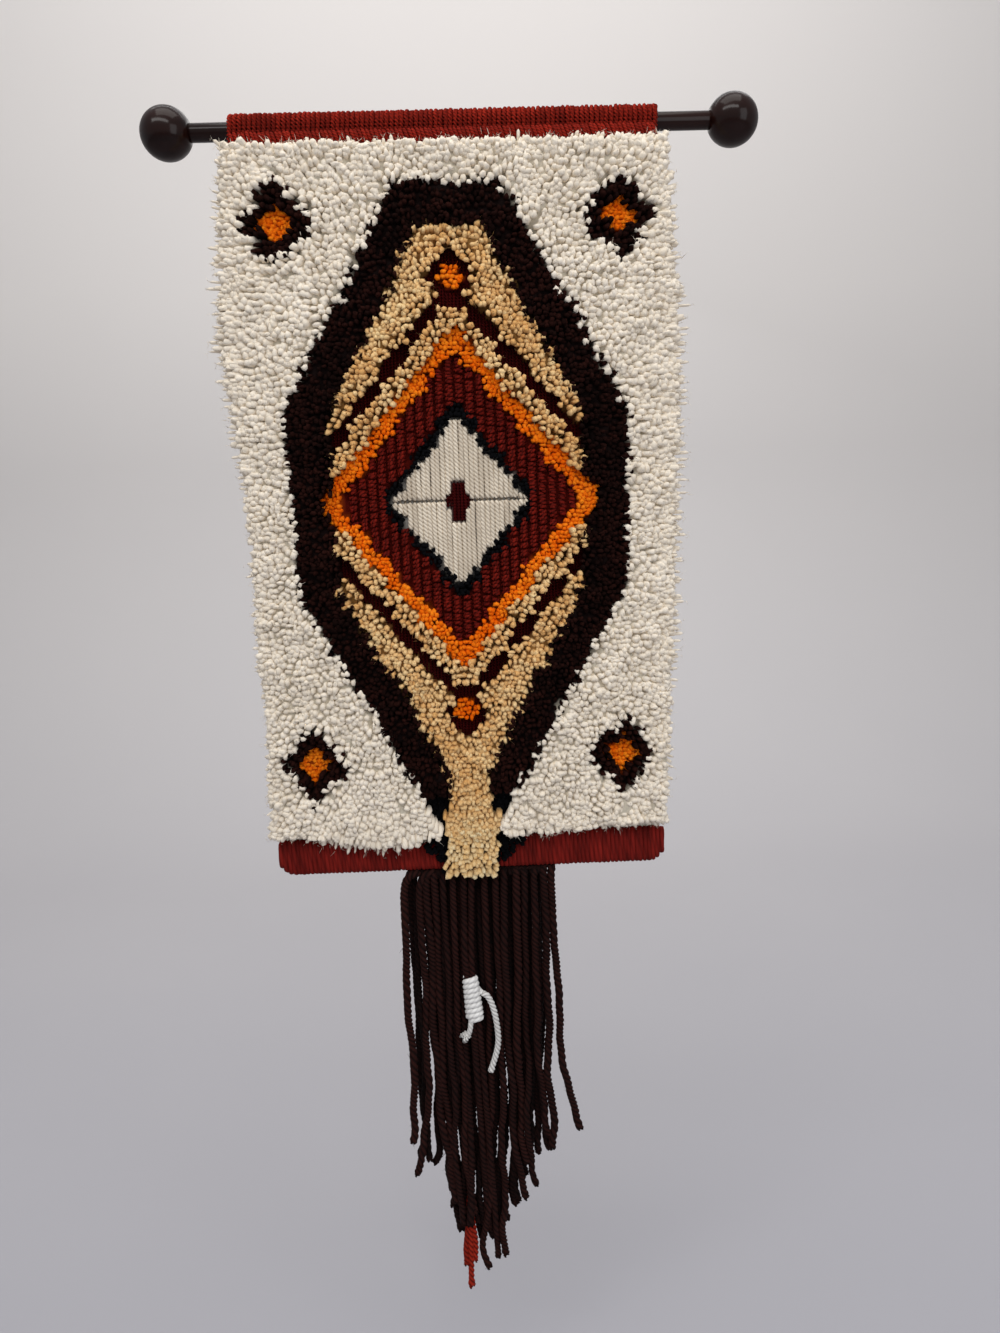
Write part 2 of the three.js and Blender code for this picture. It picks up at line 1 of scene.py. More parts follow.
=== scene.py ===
"""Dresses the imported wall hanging: cut and looped pile on its canvas, wound bindings, fringe, tie and rod.

Lengths in the tables are millimetres in the row frame, or in the cloth's own frame before it leans.
"""

import math

import bpy
import numpy as np
from mathutils import Matrix, Vector


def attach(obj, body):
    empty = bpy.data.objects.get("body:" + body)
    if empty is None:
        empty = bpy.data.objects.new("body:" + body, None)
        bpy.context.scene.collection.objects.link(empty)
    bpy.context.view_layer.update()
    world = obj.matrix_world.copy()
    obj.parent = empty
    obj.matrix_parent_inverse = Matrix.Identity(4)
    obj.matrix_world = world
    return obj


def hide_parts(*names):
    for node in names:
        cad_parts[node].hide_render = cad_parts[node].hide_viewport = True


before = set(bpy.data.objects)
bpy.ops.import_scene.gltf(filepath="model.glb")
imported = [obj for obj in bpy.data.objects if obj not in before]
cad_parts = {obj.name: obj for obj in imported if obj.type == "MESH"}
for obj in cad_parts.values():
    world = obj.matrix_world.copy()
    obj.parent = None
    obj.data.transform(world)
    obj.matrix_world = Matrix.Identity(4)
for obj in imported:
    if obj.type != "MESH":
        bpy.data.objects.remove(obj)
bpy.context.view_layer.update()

chance = np.random.default_rng(7)

MM = 0.001

# ---------------------------------------------------------------- sizes shared with the solids

ROD_RADIUS = 6.35
KNOB_RADIUS = 18.3
KNOB_CENTRE = 201
KNOB_SOCKET = 14

CLOTH_SHIFT = -4.7
CLOTH_LEAN = math.radians(1)
CANVAS_WIDTH = 300
HALF_WIDTH = CANVAS_WIDTH / 2
CANVAS_THICKNESS = 1.2
CANVAS_INSET = 0.8
SLEEVE_RADIUS = 6.75
SLEEVE_TIP = 17
CANVAS_FRONT = -(SLEEVE_RADIUS + CANVAS_THICKNESS)
CANVAS_BACK = -SLEEVE_RADIUS
PILE_TOP = -19
PILE_BOTTOM = -512
FOLD_DEPTH = 549
HEM_TOP = -524
HEM_THICKNESS = 2.75
BINDING_YARN = 2.7
GAP = 0.3
UPPER_BINDING_LENGTH = 302
LOWER_BINDING_TOP = -522
LOWER_BINDING_BOTTOM = -FOLD_DEPTH - BINDING_YARN + 1 - GAP
LOWER_BINDING_LENGTH = 304.6
TONGUE_TIP = -556
MESH = 5  # the canvas has five holes to the inch
SIDE_CURL = 3
MIDDLE_WAVE = 1.5

EDGE_REACH = [
    # height, left, right
    (-16, 8, 7),
    (-62, 14, 12),
    (-136, 20, 18),
    (-206, 15, 19),
    (-262, 8, 17),
    (-350, 8, 14),
    (-440, 5, 8),
    (-520, 8, 5),
]
TOP_REACH = 6
FOOT_REACH = [
    # across, drop
    (-150, 6),
    (-66, 18),
    (40, 12),
    (100, 8),
    (150, 6),
]

# The strands that hang in front: root, middle and tip across the cloth, and the height of the tip.
FRONT_STRANDS = [
    (-60, -61.5, -58.9, -786),
    (-48, -47.5, -56.3, -816),
    (-42, -41.5, -25.4, -855),
    (-36.5, -36, -31, -845),
    (-29.6, -28.5, -26.5, -864),
    (-21.5, -21, -16.8, -855),
    (3.8, 2.8, -10.6, -907),
    (12.4, 12.2, 8, -894),
    (19.3, 18.6, 25.4, -842),
    (29, 27, 27.5, -811),
    (35.3, 34, 33, -831),
    (43.7, 42.5, 46.6, -789),
    (51, 51.5, 54, -797),
    (57, 60.5, 72.6, -781),
]
BACK_STRANDS = [
    (-56, -55, -53.5, -804),
    (-45, -43, -41, -812),
    (-40.2, -39.6, -39, -806),
    (-34.5, -34, -34.6, -838),
    (-28.6, -28.6, -29, -876),
    (-22.6, -23.2, -23.2, -880),
    (-11.8, -11.6, -12.4, -884),
    (-7.4, -4.4, -1, -874),
    (-4, -4, -6, -852),
    (1.4, 2.4, 5, -886),
    (7, 6, 2, -878),
    (9, 8.4, 7.8, -846),
    (16, 14, 8, -868),
    (24.5, 22, 17, -852),
    (25.4, 24.8, 25.4, -826),
    (32.5, 31, 23, -826),
    (38, 37, 36, -800),
    (40, 39.6, 39.4, -806),
    (48, 47, 42, -792),
]
MIDDLE_STRANDS = [
    (-52.5, -52, -52, -806),
    (-33, -32.5, -29, -850),
    (-25.2, -24.8, -21.5, -880),
    (-19.2, -19, -18.6, -857),
    (-15.6, -16, -16.2, -866),
    (-4.6, -8, -9.5, -868),
    (0, -1, -5, -880),
    (22, 20.5, 20, -848),
    (47, 45, 45, -800),
]
STRAND_RADIUS = 3.1
FRONT_LAYER = -1.9
MIDDLE_LAYER = 1.7
BACK_LAYER = 4.6

# ---------------------------------------------------------------- placing on the cloth


def join(x, y, z):
    """Points from their three coordinates."""
    return np.stack([x, y, z], -1)


def hang(points):
    """From the cloth's own frame to the row frame: the cloth leans back about the rod's axis."""
    x, y, z = np.moveaxis(np.asarray(points, float), -1, 0)
    lean, rise = math.sin(CLOTH_LEAN), math.cos(CLOTH_LEAN)
    return join(x + CLOTH_SHIFT, y * rise - z * lean, y * lean + z * rise)


def canvas_wave(x, z):
    """How far the canvas bows at a place: its sides curl back and its middle waves."""
    down = np.clip((z - PILE_TOP) / (PILE_BOTTOM - PILE_TOP), 0, 1)
    across = x / HALF_WIDTH
    return np.sin(math.pi * down) ** 2 * (SIDE_CURL * across**4 - MIDDLE_WAVE * np.cos(2.2 * across + 1))


def smooth_steps(at, table, column):
    """A value read off one column of a short table, with a smooth turn at each row."""
    rows = np.array(sorted(table), float)
    keys, values = rows[:, 0], rows[:, column]
    at = np.clip(at, keys[0], keys[-1])
    low = np.clip(np.searchsorted(keys, at, side="right") - 1, 0, len(keys) - 2)
    share = (at - keys[low]) / (keys[low + 1] - keys[low])
    share = share * share * (3 - 2 * share)
    return values[low] + (values[low + 1] - values[low]) * share


def fringe_place():
    """The middle of the lower binding's under side, where the fringe hangs from."""
    foot = hang((0, CANVAS_FRONT + HEM_THICKNESS / 2, LOWER_BINDING_BOTTOM))
    return foot[1], foot[2] - 2 * GAP


FRINGE_Y, FRINGE_TOP = fringe_place()
CURVE_POINTS = 24  # between two points of a route


def distances(line):
    """How far along the line each of its points is."""
    return np.r_[0, np.cumsum(np.linalg.norm(np.diff(line, axis=0), axis=1))]


def points_along(line, at):
    """The places at these distances along the line."""
    along = distances(line)
    return np.stack([np.interp(at, along, line[:, axis]) for axis in range(line.shape[1])], -1)


def curve_between(four):
    """The smooth curve from the second of four points to the third."""
    knots = np.cumsum([0, *(np.linalg.norm(stop - start) ** 0.5 for start, stop in zip(four, four[1:]))])
    at = np.linspace(knots[1], knots[2], CURVE_POINTS, endpoint=False)[:, None]

    def blend(first, second, low, high):
        return ((high - at) * first + (at - low) * second) / (high - low)

    curves = list(four)
    for reach in (1, 2):
        curves = [blend(*pair) for pair in zip(curves, curves[1:], knots, knots[reach:])]
    return blend(*curves, knots[1], knots[2])


def smooth_path(points, step):
    """A smooth line through the points, with a point about every step."""
    points = np.asarray(points, float)
    ends = np.vstack([2 * points[0] - points[1], points, 2 * points[-1] - points[-2]])
    spans = [curve_between(ends[first : first + 4]) for first in range(len(points) - 1)]
    line = np.vstack([*spans, points[-1:]])
    length = distances(line)[-1]
    count = max(3, round(length / step) + 1)
    return points_along(line, np.linspace(0, length, count))


# ---------------------------------------------------------------- making pieces

PLY_CORNERS = 3
FLARE_POINTS = 4
FLARE_RIM = 0.7


def deselect():
    """Leaves edit mode and selects nothing."""
    if bpy.context.object and bpy.context.object.mode != "OBJECT":
        close_edit()
    bpy.ops.object.select_all(action="DESELECT")


def work_on(piece):
    """Makes a piece the only one selected."""
    deselect()
    piece.select_set(True)
    bpy.context.view_layer.objects.active = piece


def edit(piece):
    """Opens a piece in edit mode with nothing selected."""
    work_on(piece)
    bpy.ops.object.mode_set(mode="EDIT")
    bpy.ops.mesh.select_all(action="DESELECT")


def pick(piece, parts, test):
    """Selects the corners, edges or faces of an open piece that pass a test."""
    bpy.ops.mesh.select_mode(type={"vertices": "VERT", "edges": "EDGE", "polygons": "FACE"}[parts])
    bpy.ops.mesh.select_all(action="DESELECT")
    bpy.ops.object.mode_set(mode="OBJECT")
    for part in getattr(piece.data, parts):
        part.select = bool(test(part))
    bpy.ops.object.mode_set(mode="EDIT")


def close_edit():
    bpy.ops.object.mode_set(mode="OBJECT")


def add_object(name, data):
    """Puts new data, such as a mesh, a curve or a light, in the scene."""
    made = bpy.data.objects.new(name, data)
    bpy.context.scene.collection.objects.link(made)
    return made


def piece_from_faces(name, points, faces):
    """A piece of the given points, in millimetres, and faces."""
    mesh = bpy.data.meshes.new(name)
    mesh.from_pydata((points * MM).reshape(-1, 3).tolist(), [], faces)
    return add_object(name, mesh)


def turn_outwards(piece, cap=False):
    """Points all faces of a piece outwards, after its open ends are capped if asked."""
    edit(piece)
    bpy.ops.mesh.select_all(action="SELECT")
    if cap:
        bpy.ops.mesh.fill_holes(sides=0)
        bpy.ops.mesh.select_all(action="SELECT")
    bpy.ops.mesh.normals_make_consistent(inside=False)
    close_edit()


def round_edges(piece, width, segments, angle):
    """Bevels the edges of a piece that turn by more than the angle."""
    bevel = piece.modifiers.new("rounded_edges", "BEVEL")
    bevel.limit_method = "ANGLE"
    bevel.width, bevel.segments, bevel.angle_limit = width, segments, math.radians(angle)


def name_piece(piece, name, angle):
    """Names a piece, and smooths it over edges that turn by less than the angle."""
    piece.name = name
    piece.data.name = name
    bpy.ops.object.shade_smooth_by_angle(angle=math.radians(angle))
    return piece


def finish_piece(piece, name):
    """Applies a piece's modifiers and its place, then names and smooths it."""
    work_on(piece)
    for modifier in list(piece.modifiers):
        bpy.ops.object.modifier_apply(modifier=modifier.name)
    bpy.ops.object.transform_apply(location=True, rotation=True, scale=True)
    return name_piece(piece, name, 60)


def take_unit(piece):
    """A small shape modelled once, as its points and its faces, ready to be copied many times."""
    points = np.array([v.co for v in piece.data.vertices])
    faces = [list(p.vertices) for p in piece.data.polygons]
    bpy.data.objects.remove(piece)
    return points, faces


def add_attribute(piece, name, values):
    """Gives each point of a piece a number that its finish reads."""
    attribute = piece.data.attributes.new(name, "FLOAT", "POINT")
    attribute.data.foreach_set("value", np.asarray(values, np.float32))


def piece_from_copies(name, faces, copies):
    """One piece of many copies of a unit. copies holds each copy's points in millimetres."""
    count, size = copies.shape[:2]
    totals = np.tile([len(face) for face in faces], count)
    corners = np.concatenate(faces)[None, :] + (np.arange(count) * size)[:, None]
    mesh = bpy.data.meshes.new(name)
    mesh.vertices.add(count * size)
    mesh.vertices.foreach_set("co", (copies * MM).ravel())
    mesh.loops.add(corners.size)
    mesh.loops.foreach_set("vertex_index", corners.ravel())
    mesh.polygons.add(len(totals))
    mesh.polygons.foreach_set("loop_start", np.r_[0, np.cumsum(totals)[:-1]])
    mesh.update(calc_edges=True)
    mesh.shade_smooth()
    return add_object(name, mesh)


def yarn_section(radius, plies, groove):
    """The section of a plied yarn: a closed curve, drawn in where two plies meet."""
    corners = np.arange(PLY_CORNERS * plies)
    angles = corners * 2 * math.pi / len(corners)
    radii = np.where(corners % PLY_CORNERS, radius, radius * (1 - groove)) * MM
    curve = bpy.data.curves.new("yarn_section", "CURVE")
    curve.dimensions = "2D"
    spline = curve.splines.new("POLY")
    spline.points.add(len(corners) - 1)
    spline.use_cyclic_u = True
    places = np.stack([radii * np.cos(angles), radii * np.sin(angles), 0 * radii, 1 + 0 * radii], -1)
    spline.points.foreach_set("co", places.ravel())
    return add_object("yarn_section", curve)


def wavy(turn):
    """A sine wave that starts anywhere."""
    return np.sin(turn + chance.uniform(0, 6))


def yarn_swell(count, thickness, ends):
    """How thick a yarn is at each of its points: drawn in or flared at its two ends."""
    swell = np.full(count, thickness)
    swell[0] *= ends[0]
    flared = ends[1] > 1
    tail = FLARE_POINTS if flared else 1
    swell[-tail:] *= np.linspace(1, ends[1], tail + 1)[1:]
    if flared:
        swell[-1] *= FLARE_RIM
    return swell


def lay_yarn(
    name,
    runs,
    radius,
    turn,
    plies=3,
    groove=0.24,
    ends=(0.8, 0.8),
    closed=False,
    spread=0.0,
    wander=0.0,
    shades=None,
):
    """Plied yarns along the runs, each a line of points in millimetres. turn is the length of one twist,
    spread how unlike each other they are in thickness, wander how uneven their twist is, and shades how
    light each one is."""
    section = yarn_section(radius, plies, groove)
    curve = bpy.data.curves.new(name, "CURVE")
    curve.dimensions = "3D"
    curve.bevel_mode = "OBJECT"
    curve.bevel_object = section
    curve.twist_mode = "MINIMUM"
    starts = chance.uniform(0, 2 * math.pi, len(runs))
    for run, start in zip(runs, starts):
        spline = curve.splines.new("POLY")
        spline.points.add(len(run) - 1)
        spline.use_cyclic_u = closed
        along = distances(run)
        along += wander * turn * wavy(2 * math.pi * along / (4.3 * turn))
        thickness = 1 + spread * chance.uniform(-1, 1)
        swell = np.full(len(run), thickness) if closed else yarn_swell(len(run), thickness, ends)
        spline.points.foreach_set("co", np.c_[run * MM, np.ones(len(run))].ravel())
        spline.points.foreach_set("tilt", start - 2 * math.pi * along / turn)
        spline.points.foreach_set("radius", swell)
    work_on(add_object(name, curve))
    bpy.ops.object.convert(target="MESH")
    piece = bpy.context.object
    bpy.data.objects.remove(section)
    turn_outwards(piece, cap=not closed)
    counts = np.array([len(run) for run in runs])
    shades = chance.random(len(runs)) if shades is None else np.asarray(shades)
    add_attribute(piece, "shade", np.repeat(shades, counts * PLY_CORNERS * plies))
    # Painted shade: the corner where two plies meet is darker, the more so the deeper its groove.
    add_attribute(piece, "ply", np.tile([max(0, 1 - groove / 0.2), 1, 1], counts.sum() * plies))
    return name_piece(piece, name, 70)


# ---------------------------------------------------------------- finishes

# Noise of each kind: how fine, how much detail, and how it is stretched.
PILE_FIBRES, PILE_PATCHES = (1300, 3), (28, 1)
YARN_FIBRES, YARN_PATCHES = (1700, 4), (60, 2)
KNOT_FIBRES, COTTON_FIBRES, FLOOR_CLOUDS = (1500, 3), (900, 3), (2.2, 2)
WOOD_GRAIN, WOOD_PORES = (60, 5, (0.12, 1.6, 1.6)), (420, 3, (0.08, 1, 1))

# Two colours of each: the deep and the light one.
WOOD_COLOURS = (16, 4, 2), (38, 16, 11)
CANVAS_COLOURS = (120, 108, 88), (230, 223, 206)
# The floor's light colour is painted light, laid higher up and further back on its sweep.
FLOOR_COLOURS = (163, 162, 168), (212, 208, 205)
KNOT_SHADE = (40, 34, 30)
# Painted shade: the dark layer that shows in the gaps between the bindings' wraps.
SHADE_LAYER_COLOUR = (58, 8, 5)


def shader_math(operation, reflected=False):
    """A Python operator on shader values, as a Math node."""

    def work_out(value, other):
        first, second = (other, value) if reflected else (value, other)
        return value.finish.node("ShaderNodeMath", {"operation": operation}, {0: first, 1: second})

    return work_out


class Value:
    """A socket that numbers and other sockets can be added to, taken from and multiplied with."""

    def __init__(self, finish, socket):
        self.finish = finish
        self.socket = socket

    __add__, __radd__ = shader_math("ADD"), shader_math("ADD", reflected=True)
    __sub__, __rsub__ = shader_math("SUBTRACT"), shader_math("SUBTRACT", reflected=True)
    __mul__, __rmul__ = shader_math("MULTIPLY"), shader_math("MULTIPLY", reflected=True)
    __pow__ = shader_math("POWER")


class Finish:
    """A material of named nodes on one Principled shader."""

    def __init__(self, name, **constants):
        self.material = bpy.data.materials.new(name)
        self.material.use_nodes = True
        self.tree = self.material.node_tree
        self.shader = self.tree.nodes["Principled BSDF"]
        for socket, value in constants.items():
            self.shader.inputs[socket.replace("_", " ")].default_value = value

    def node(self, kind, settings=None, values=None, output=0):
        """A node of any type, with its settings and then its sockets' values or links."""
        made = self.tree.nodes.new(kind)
        for setting, value in (settings or {}).items():
            if setting == "stops":
                self.set_stops(made.color_ramp, value)
            else:
                setattr(made, setting, value)
        for socket, value in (values or {}).items():
            self.feed(made.inputs[socket], value)
        return Value(self, made.outputs[output])

    def feed(self, socket, value):
        """Links a socket to another one, or sets its value."""
        if isinstance(value, Value):
            self.tree.links.new(value.socket, socket)
        else:
            socket.default_value = value

    @staticmethod
    def set_stops(ramp, stops):
        ramp.elements[0].position, ramp.elements[0].color = stops[0]
        ramp.elements[1].position, ramp.elements[1].color = stops[-1]
        for place, colour in stops[1:-1]:
            ramp.elements.new(place).color = colour

    def attribute(self, name):
        """A number that each point of the piece has of its own."""
        return self.node("ShaderNodeAttribute", {"attribute_name": name}, output="Fac")

    def noise(self, scale, detail, stretch=None):
        """Cloudy noise fixed to the piece, drawn out along its axes if asked."""
        place = self.node("ShaderNodeTexCoord", output="Object")
        if stretch:
            place = self.node("ShaderNodeMapping", values={"Vector": place, "Scale": stretch})
        return self.node("ShaderNodeTexNoise", values={"Vector": place, "Scale": scale, "Detail": detail})

    def place(self):
        """The three parts of a point's place."""
        place = self.node("ShaderNodeTexCoord", output="Object")
        parts = self.node("ShaderNodeSeparateXYZ", values={0: place}).socket.node.outputs
        return [Value(self, part) for part in parts]

    def mix(self, factor, first, second, blend="MIX"):
        """A colour between two, or both blended in another way."""
        settings = {"data_type": "RGBA", "blend_type": blend}
        return self.node("ShaderNodeMix", settings, {"Factor": factor, 6: first, 7: second}, output=2)

    def clamp(self, value):
        return self.node("ShaderNodeClamp", values={"Value": value})

    def colour(self, value):
        self.feed(self.shader.inputs["Base Color"], value)

    def blend(self, share, deep, light):
        """Colours the surface between two colours."""
        self.colour(self.mix(self.clamp(share), paint(*deep), paint(*light)))

    def roughness(self, value):
        self.feed(self.shader.inputs["Roughness"], value)

    def bump(self, height, strength, distance):
        relief = {"Height": height, "Strength": strength, "Distance": distance * MM}
        self.feed(self.shader.inputs["Normal"], self.node("ShaderNodeBump", values=relief))


def paint(*rgb):
    """A colour given as 0 to 255 on a screen, as the linear colour that a shader takes."""
    shares = [channel / 255 for channel in rgb]
    return (*(s / 12.92 if s <= 0.04045 else ((s + 0.055) / 1.055) ** 2.4 for s in shares), 1)


def pile_finish(name, root_shade, tip, pale, sheen):
    """Cut pile: painted shade between the tufts, darker at their roots than at their tips (for cream the
    roots are painted a little lighter instead), each tuft a little its own shade, with fine light specks that
    are partly fibre tone and partly painted glints on the fibres.
    """
    finish = Finish(
        name,
        Roughness=0.95,
        Sheen_Weight=sheen,
        Sheen_Roughness=0.5,
        Sheen_Tint=paint(*pale),
        Specular_IOR_Level=0.06,
    )
    fibres = finish.noise(*PILE_FIBRES)
    patches = finish.noise(*PILE_PATCHES)
    # Painted shade: each tuft runs from the root colour, the painted shade between the tufts, up to its tip
    # colour.
    rise = finish.clamp(finish.attribute("tip") ** 1.6 + 0.5 * (fibres - 0.5))
    # Each tuft's own tone, and fine specks towards the palest colour that are partly painted glints on the
    # fibres.
    shade = finish.clamp(0.75 * finish.attribute("shade") + 1.2 * (patches - 0.5) + 1.3 * (fibres - 0.5))
    tips_and_glints = finish.mix(shade, paint(*tip), paint(*pale))
    finish.colour(finish.mix(rise, paint(*root_shade), tips_and_glints))
    finish.bump(fibres, 0.45, 0.5)
    return finish.material


def yarn_finish(name, deep, light, sheen=0.1):
    """Plied yarn: fine fibres, painted shade where two plies meet, and each length of it a little its own
    shade.
    """
    finish = Finish(
        name,
        Sheen_Weight=sheen,
        Sheen_Roughness=0.45,
        Sheen_Tint=paint(*light),
        Specular_IOR_Level=0.1,
    )
    fibres = finish.noise(*YARN_FIBRES)
    patches = finish.noise(*YARN_PATCHES)
    shade = 0.35 * finish.attribute("shade") + 0.5 * fibres + 0.6 * (patches - 0.5) + 0.25
    groove_shade = finish.attribute("ply")
    # The grooves between the plies are painted darker, as painted shade.
    finish.blend(shade * (0.1 + 0.9 * groove_shade), deep, light)
    finish.roughness(finish.clamp(0.85 + 0.2 * (fibres - 0.5)))
    finish.bump(fibres, 0.5, 0.35)
    return finish.material


def wood_finish(name):
    """Dark brown stain under satin varnish, with grain along the rod."""
    finish = Finish(name, Coat_Weight=0.3, Coat_Roughness=0.13, Specular_IOR_Level=0.05)
    grain = finish.noise(*WOOD_GRAIN)
    pores = finish.noise(*WOOD_PORES)
    finish.blend(1.6 * grain - 0.35, *WOOD_COLOURS)
    finish.roughness(finish.clamp(0.26 + 0.2 * pores))
    finish.bump(pores, 0.12, 0.15)
    return finish.material


def canvas_finish(name):
    """Stiff cotton rug canvas: pairs of threads with holes between them."""
    finish = Finish(name, Roughness=0.9, Specular_IOR_Level=0.2)
    across, _, up = finish.place()
    waves = {0: thread_wave(finish, across), 1: thread_wave(finish, up)}
    threads = finish.node("ShaderNodeMath", {"operation": "MAXIMUM"}, waves)
    fibres = finish.noise(*COTTON_FIBRES)
    finish.blend(threads + 0.3 * (fibres - 0.5), *CANVAS_COLOURS)
    finish.bump(threads + 0.3 * fibres, 0.6, 0.8)
    return finish.material


def thread_wave(finish, along):
    """One where a canvas thread runs, nought in the hole between."""
    turn = along * (2 * math.pi / (MESH * MM))
    return finish.node("ShaderNodeMath", {"operation": "COSINE"}, {0: turn}) * 0.8 + 0.45


def plain_finish(name, colour):
    """Yarn coloured dark that is seen only in the gaps of the layer over it, as painted shade between the
    wraps.
    """
    finish = Finish(name, Roughness=0.95, Specular_IOR_Level=0.05)
    finish.colour(paint(*colour))
    return finish.material


def coloured_finish(name):
    """Yarn in the colour that each point of the piece has of its own, which on the pile's depth holds painted
    shade as well.
    """
    finish = Finish(name, Roughness=0.9, Specular_IOR_Level=0.1)
    own = finish.node("ShaderNodeAttribute", {"attribute_name": "yarn_colour"}, output="Color")
    fibres = finish.noise(*KNOT_FIBRES)
    finish.colour(finish.mix(finish.clamp(0.5 * fibres), own, paint(*KNOT_SHADE), "MULTIPLY"))
    finish.bump(fibres, 0.5, 0.4)
    return finish.material


PILE_COLOURS = {
    # finish: painted shade between the tufts (a little lighter for cream), their tips, the palest tips with
    # painted glints on the fibres, sheen
    "cream_pile": ((240, 229, 211), (228, 216, 198), (242, 232, 217), 0.3),
    "brown_pile": ((5, 1, 1), (20, 7, 5), (46, 20, 15), 0.05),
    "tan_pile": ((112, 70, 28), (228, 175, 109), (253, 223, 168), 0.25),
    "tongue_pile": ((122, 86, 42), (246, 203, 138), (255, 238, 194), 0.25),
    "orange_pile": ((168, 38, 0), (238, 104, 4), (255, 148, 30), 0.1),
    "black_pile": ((2, 2, 3), (6, 6, 8), (14, 14, 17), 0.02),
}
PLIED_COLOURS = {
    # finish: painted shade between the plies and the dark end of each length's tone, on the plies, and the
    # sheen where it isn't the usual one
    "rust_yarn": ((66, 7, 4), (160, 39, 23)),
    "rust_strand": ((60, 6, 3), (164, 42, 24)),
    "loop_yarn": ((44, 3, 2), (124, 26, 14)),
    "maroon_yarn": ((44, 4, 3), (134, 31, 24)),
    "flat_maroon": ((38, 1, 2), (88, 10, 9)),
    "brown_yarn": ((2, 1, 1), (46, 20, 16), 0.03),
    "satin_yarn": ((168, 152, 132), (248, 236, 216)),
    "white_yarn": ((164, 160, 156), (248, 247, 244)),
}
FINISHES = {
    "wood": wood_finish("stained_wood"),
    "canvas": canvas_finish("rug_canvas"),
    "shade_layer": plain_finish("binding_shade_layer", SHADE_LAYER_COLOUR),
    "knots": coloured_finish("knot_backs"),
    **{name: pile_finish(name, *colours) for name, colours in PILE_COLOURS.items()},
    **{name: yarn_finish(name, *colours) for name, colours in PLIED_COLOURS.items()},
}


def dress(piece, finish, slot, *stands_for):
    """Gives a piece its finish and its body, and says which solids it stands for; slot is not used."""
    piece.data.materials.clear()
    piece.data.materials.append(FINISHES[finish])
    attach(piece, "root")
    if stands_for:
        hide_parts(*stands_for)
    return piece


# ---------------------------------------------------------------- camera, light and floor

CAMERA_PLACE = (0.00491, -0.76435, -0.2697)
CAMERA_DOWN, CAMERA_RIGHT, CAMERA_ROLL = 8.91, 1.27, -1.92  # degrees
SENSOR, LENS = 36, 27.087772
LIGHTS = [
    # name, place, size, power, tint
    ("key_light", (-0.5, -1.6, 1.3), (2.6, 0.45), 24, (1, 0.985, 0.96)),
    ("fill_light", (1.3, -1.5, 0.1), (1.0, 1.4), 8, (0.97, 0.98, 1)),
    ("top_light", (0, -0.3, 1.4), (1.6, 1.0), 13, (1, 0.97, 0.92)),
    ("back_light", (0.5, 1.5, 1.0), (1.6, 1.2), 9, (1, 1, 1)),
    ("sweep_light", (0, 0.9, 1.7), (2.6, 0.5), 20, (1, 0.98, 0.96)),
]
LIT_PLACE = {"sweep_light": (0, 2.1, 0.5)}
HANGING_MIDDLE = (0, 0, -0.35)
SKY_TINT, SKY_STRENGTH = (0.93, 0.95, 1, 1), 0.5
FLOOR_SIZE, FLOOR_MIDDLE, FLOOR_LEVEL = 7, -1.4, -1.02
SWEEP_HEIGHT, SWEEP_BEND = 3.4, 0.9


def aim_camera():
    """The camera stands before the middle of the hanging, a little right, and looks down a few degrees."""
    down, right, roll = map(math.radians, (CAMERA_DOWN, CAMERA_RIGHT, CAMERA_ROLL))
    ahead = Vector((math.sin(right) * math.cos(down), math.cos(right) * math.cos(down), -math.sin(down)))
    level = Vector((math.cos(right), -math.sin(right), 0))
    upright = level.cross(ahead)
    side = level * math.cos(roll) + upright * math.sin(roll)
    top = upright * math.cos(roll) - level * math.sin(roll)
    data = bpy.data.cameras.new("camera")
    data.sensor_width, data.lens = SENSOR, LENS
    data.clip_start, data.clip_end = 0.01, 50
    camera = add_object("camera", data)
    turned = Matrix((side, top, -ahead)).transposed().to_4x4()
    camera.matrix_world = Matrix.Translation(CAMERA_PLACE) @ turned
    bpy.context.scene.camera = camera


def soft_light(name, place, size, power, tint):
    """A large soft lamp, turned to the hanging or to the place that it lights."""
    data = bpy.data.lights.new(name, "AREA")
    data.shape = "RECTANGLE"
    data.size, data.size_y = size
    data.energy, data.color = power, tint
    light = add_object(name, data)
    light.location = place
    light.rotation_mode = "QUATERNION"
    ahead = Vector(LIT_PLACE.get(name, HANGING_MIDDLE)) - Vector(place)
    light.rotation_quaternion = ahead.to_track_quat("-Z", "Y")


def light_studio():
    """The lamps, and a dim even light from all round."""
    for lamp in LIGHTS:
        soft_light(*lamp)
    world = bpy.data.worlds.new("studio")
    world.use_nodes = True
    background = world.node_tree.nodes["Background"]
    background.inputs["Color"].default_value = SKY_TINT
    background.inputs["Strength"].default_value = SKY_STRENGTH
    bpy.context.scene.world = world
    bpy.context.scene.view_settings.view_transform = "Standard"


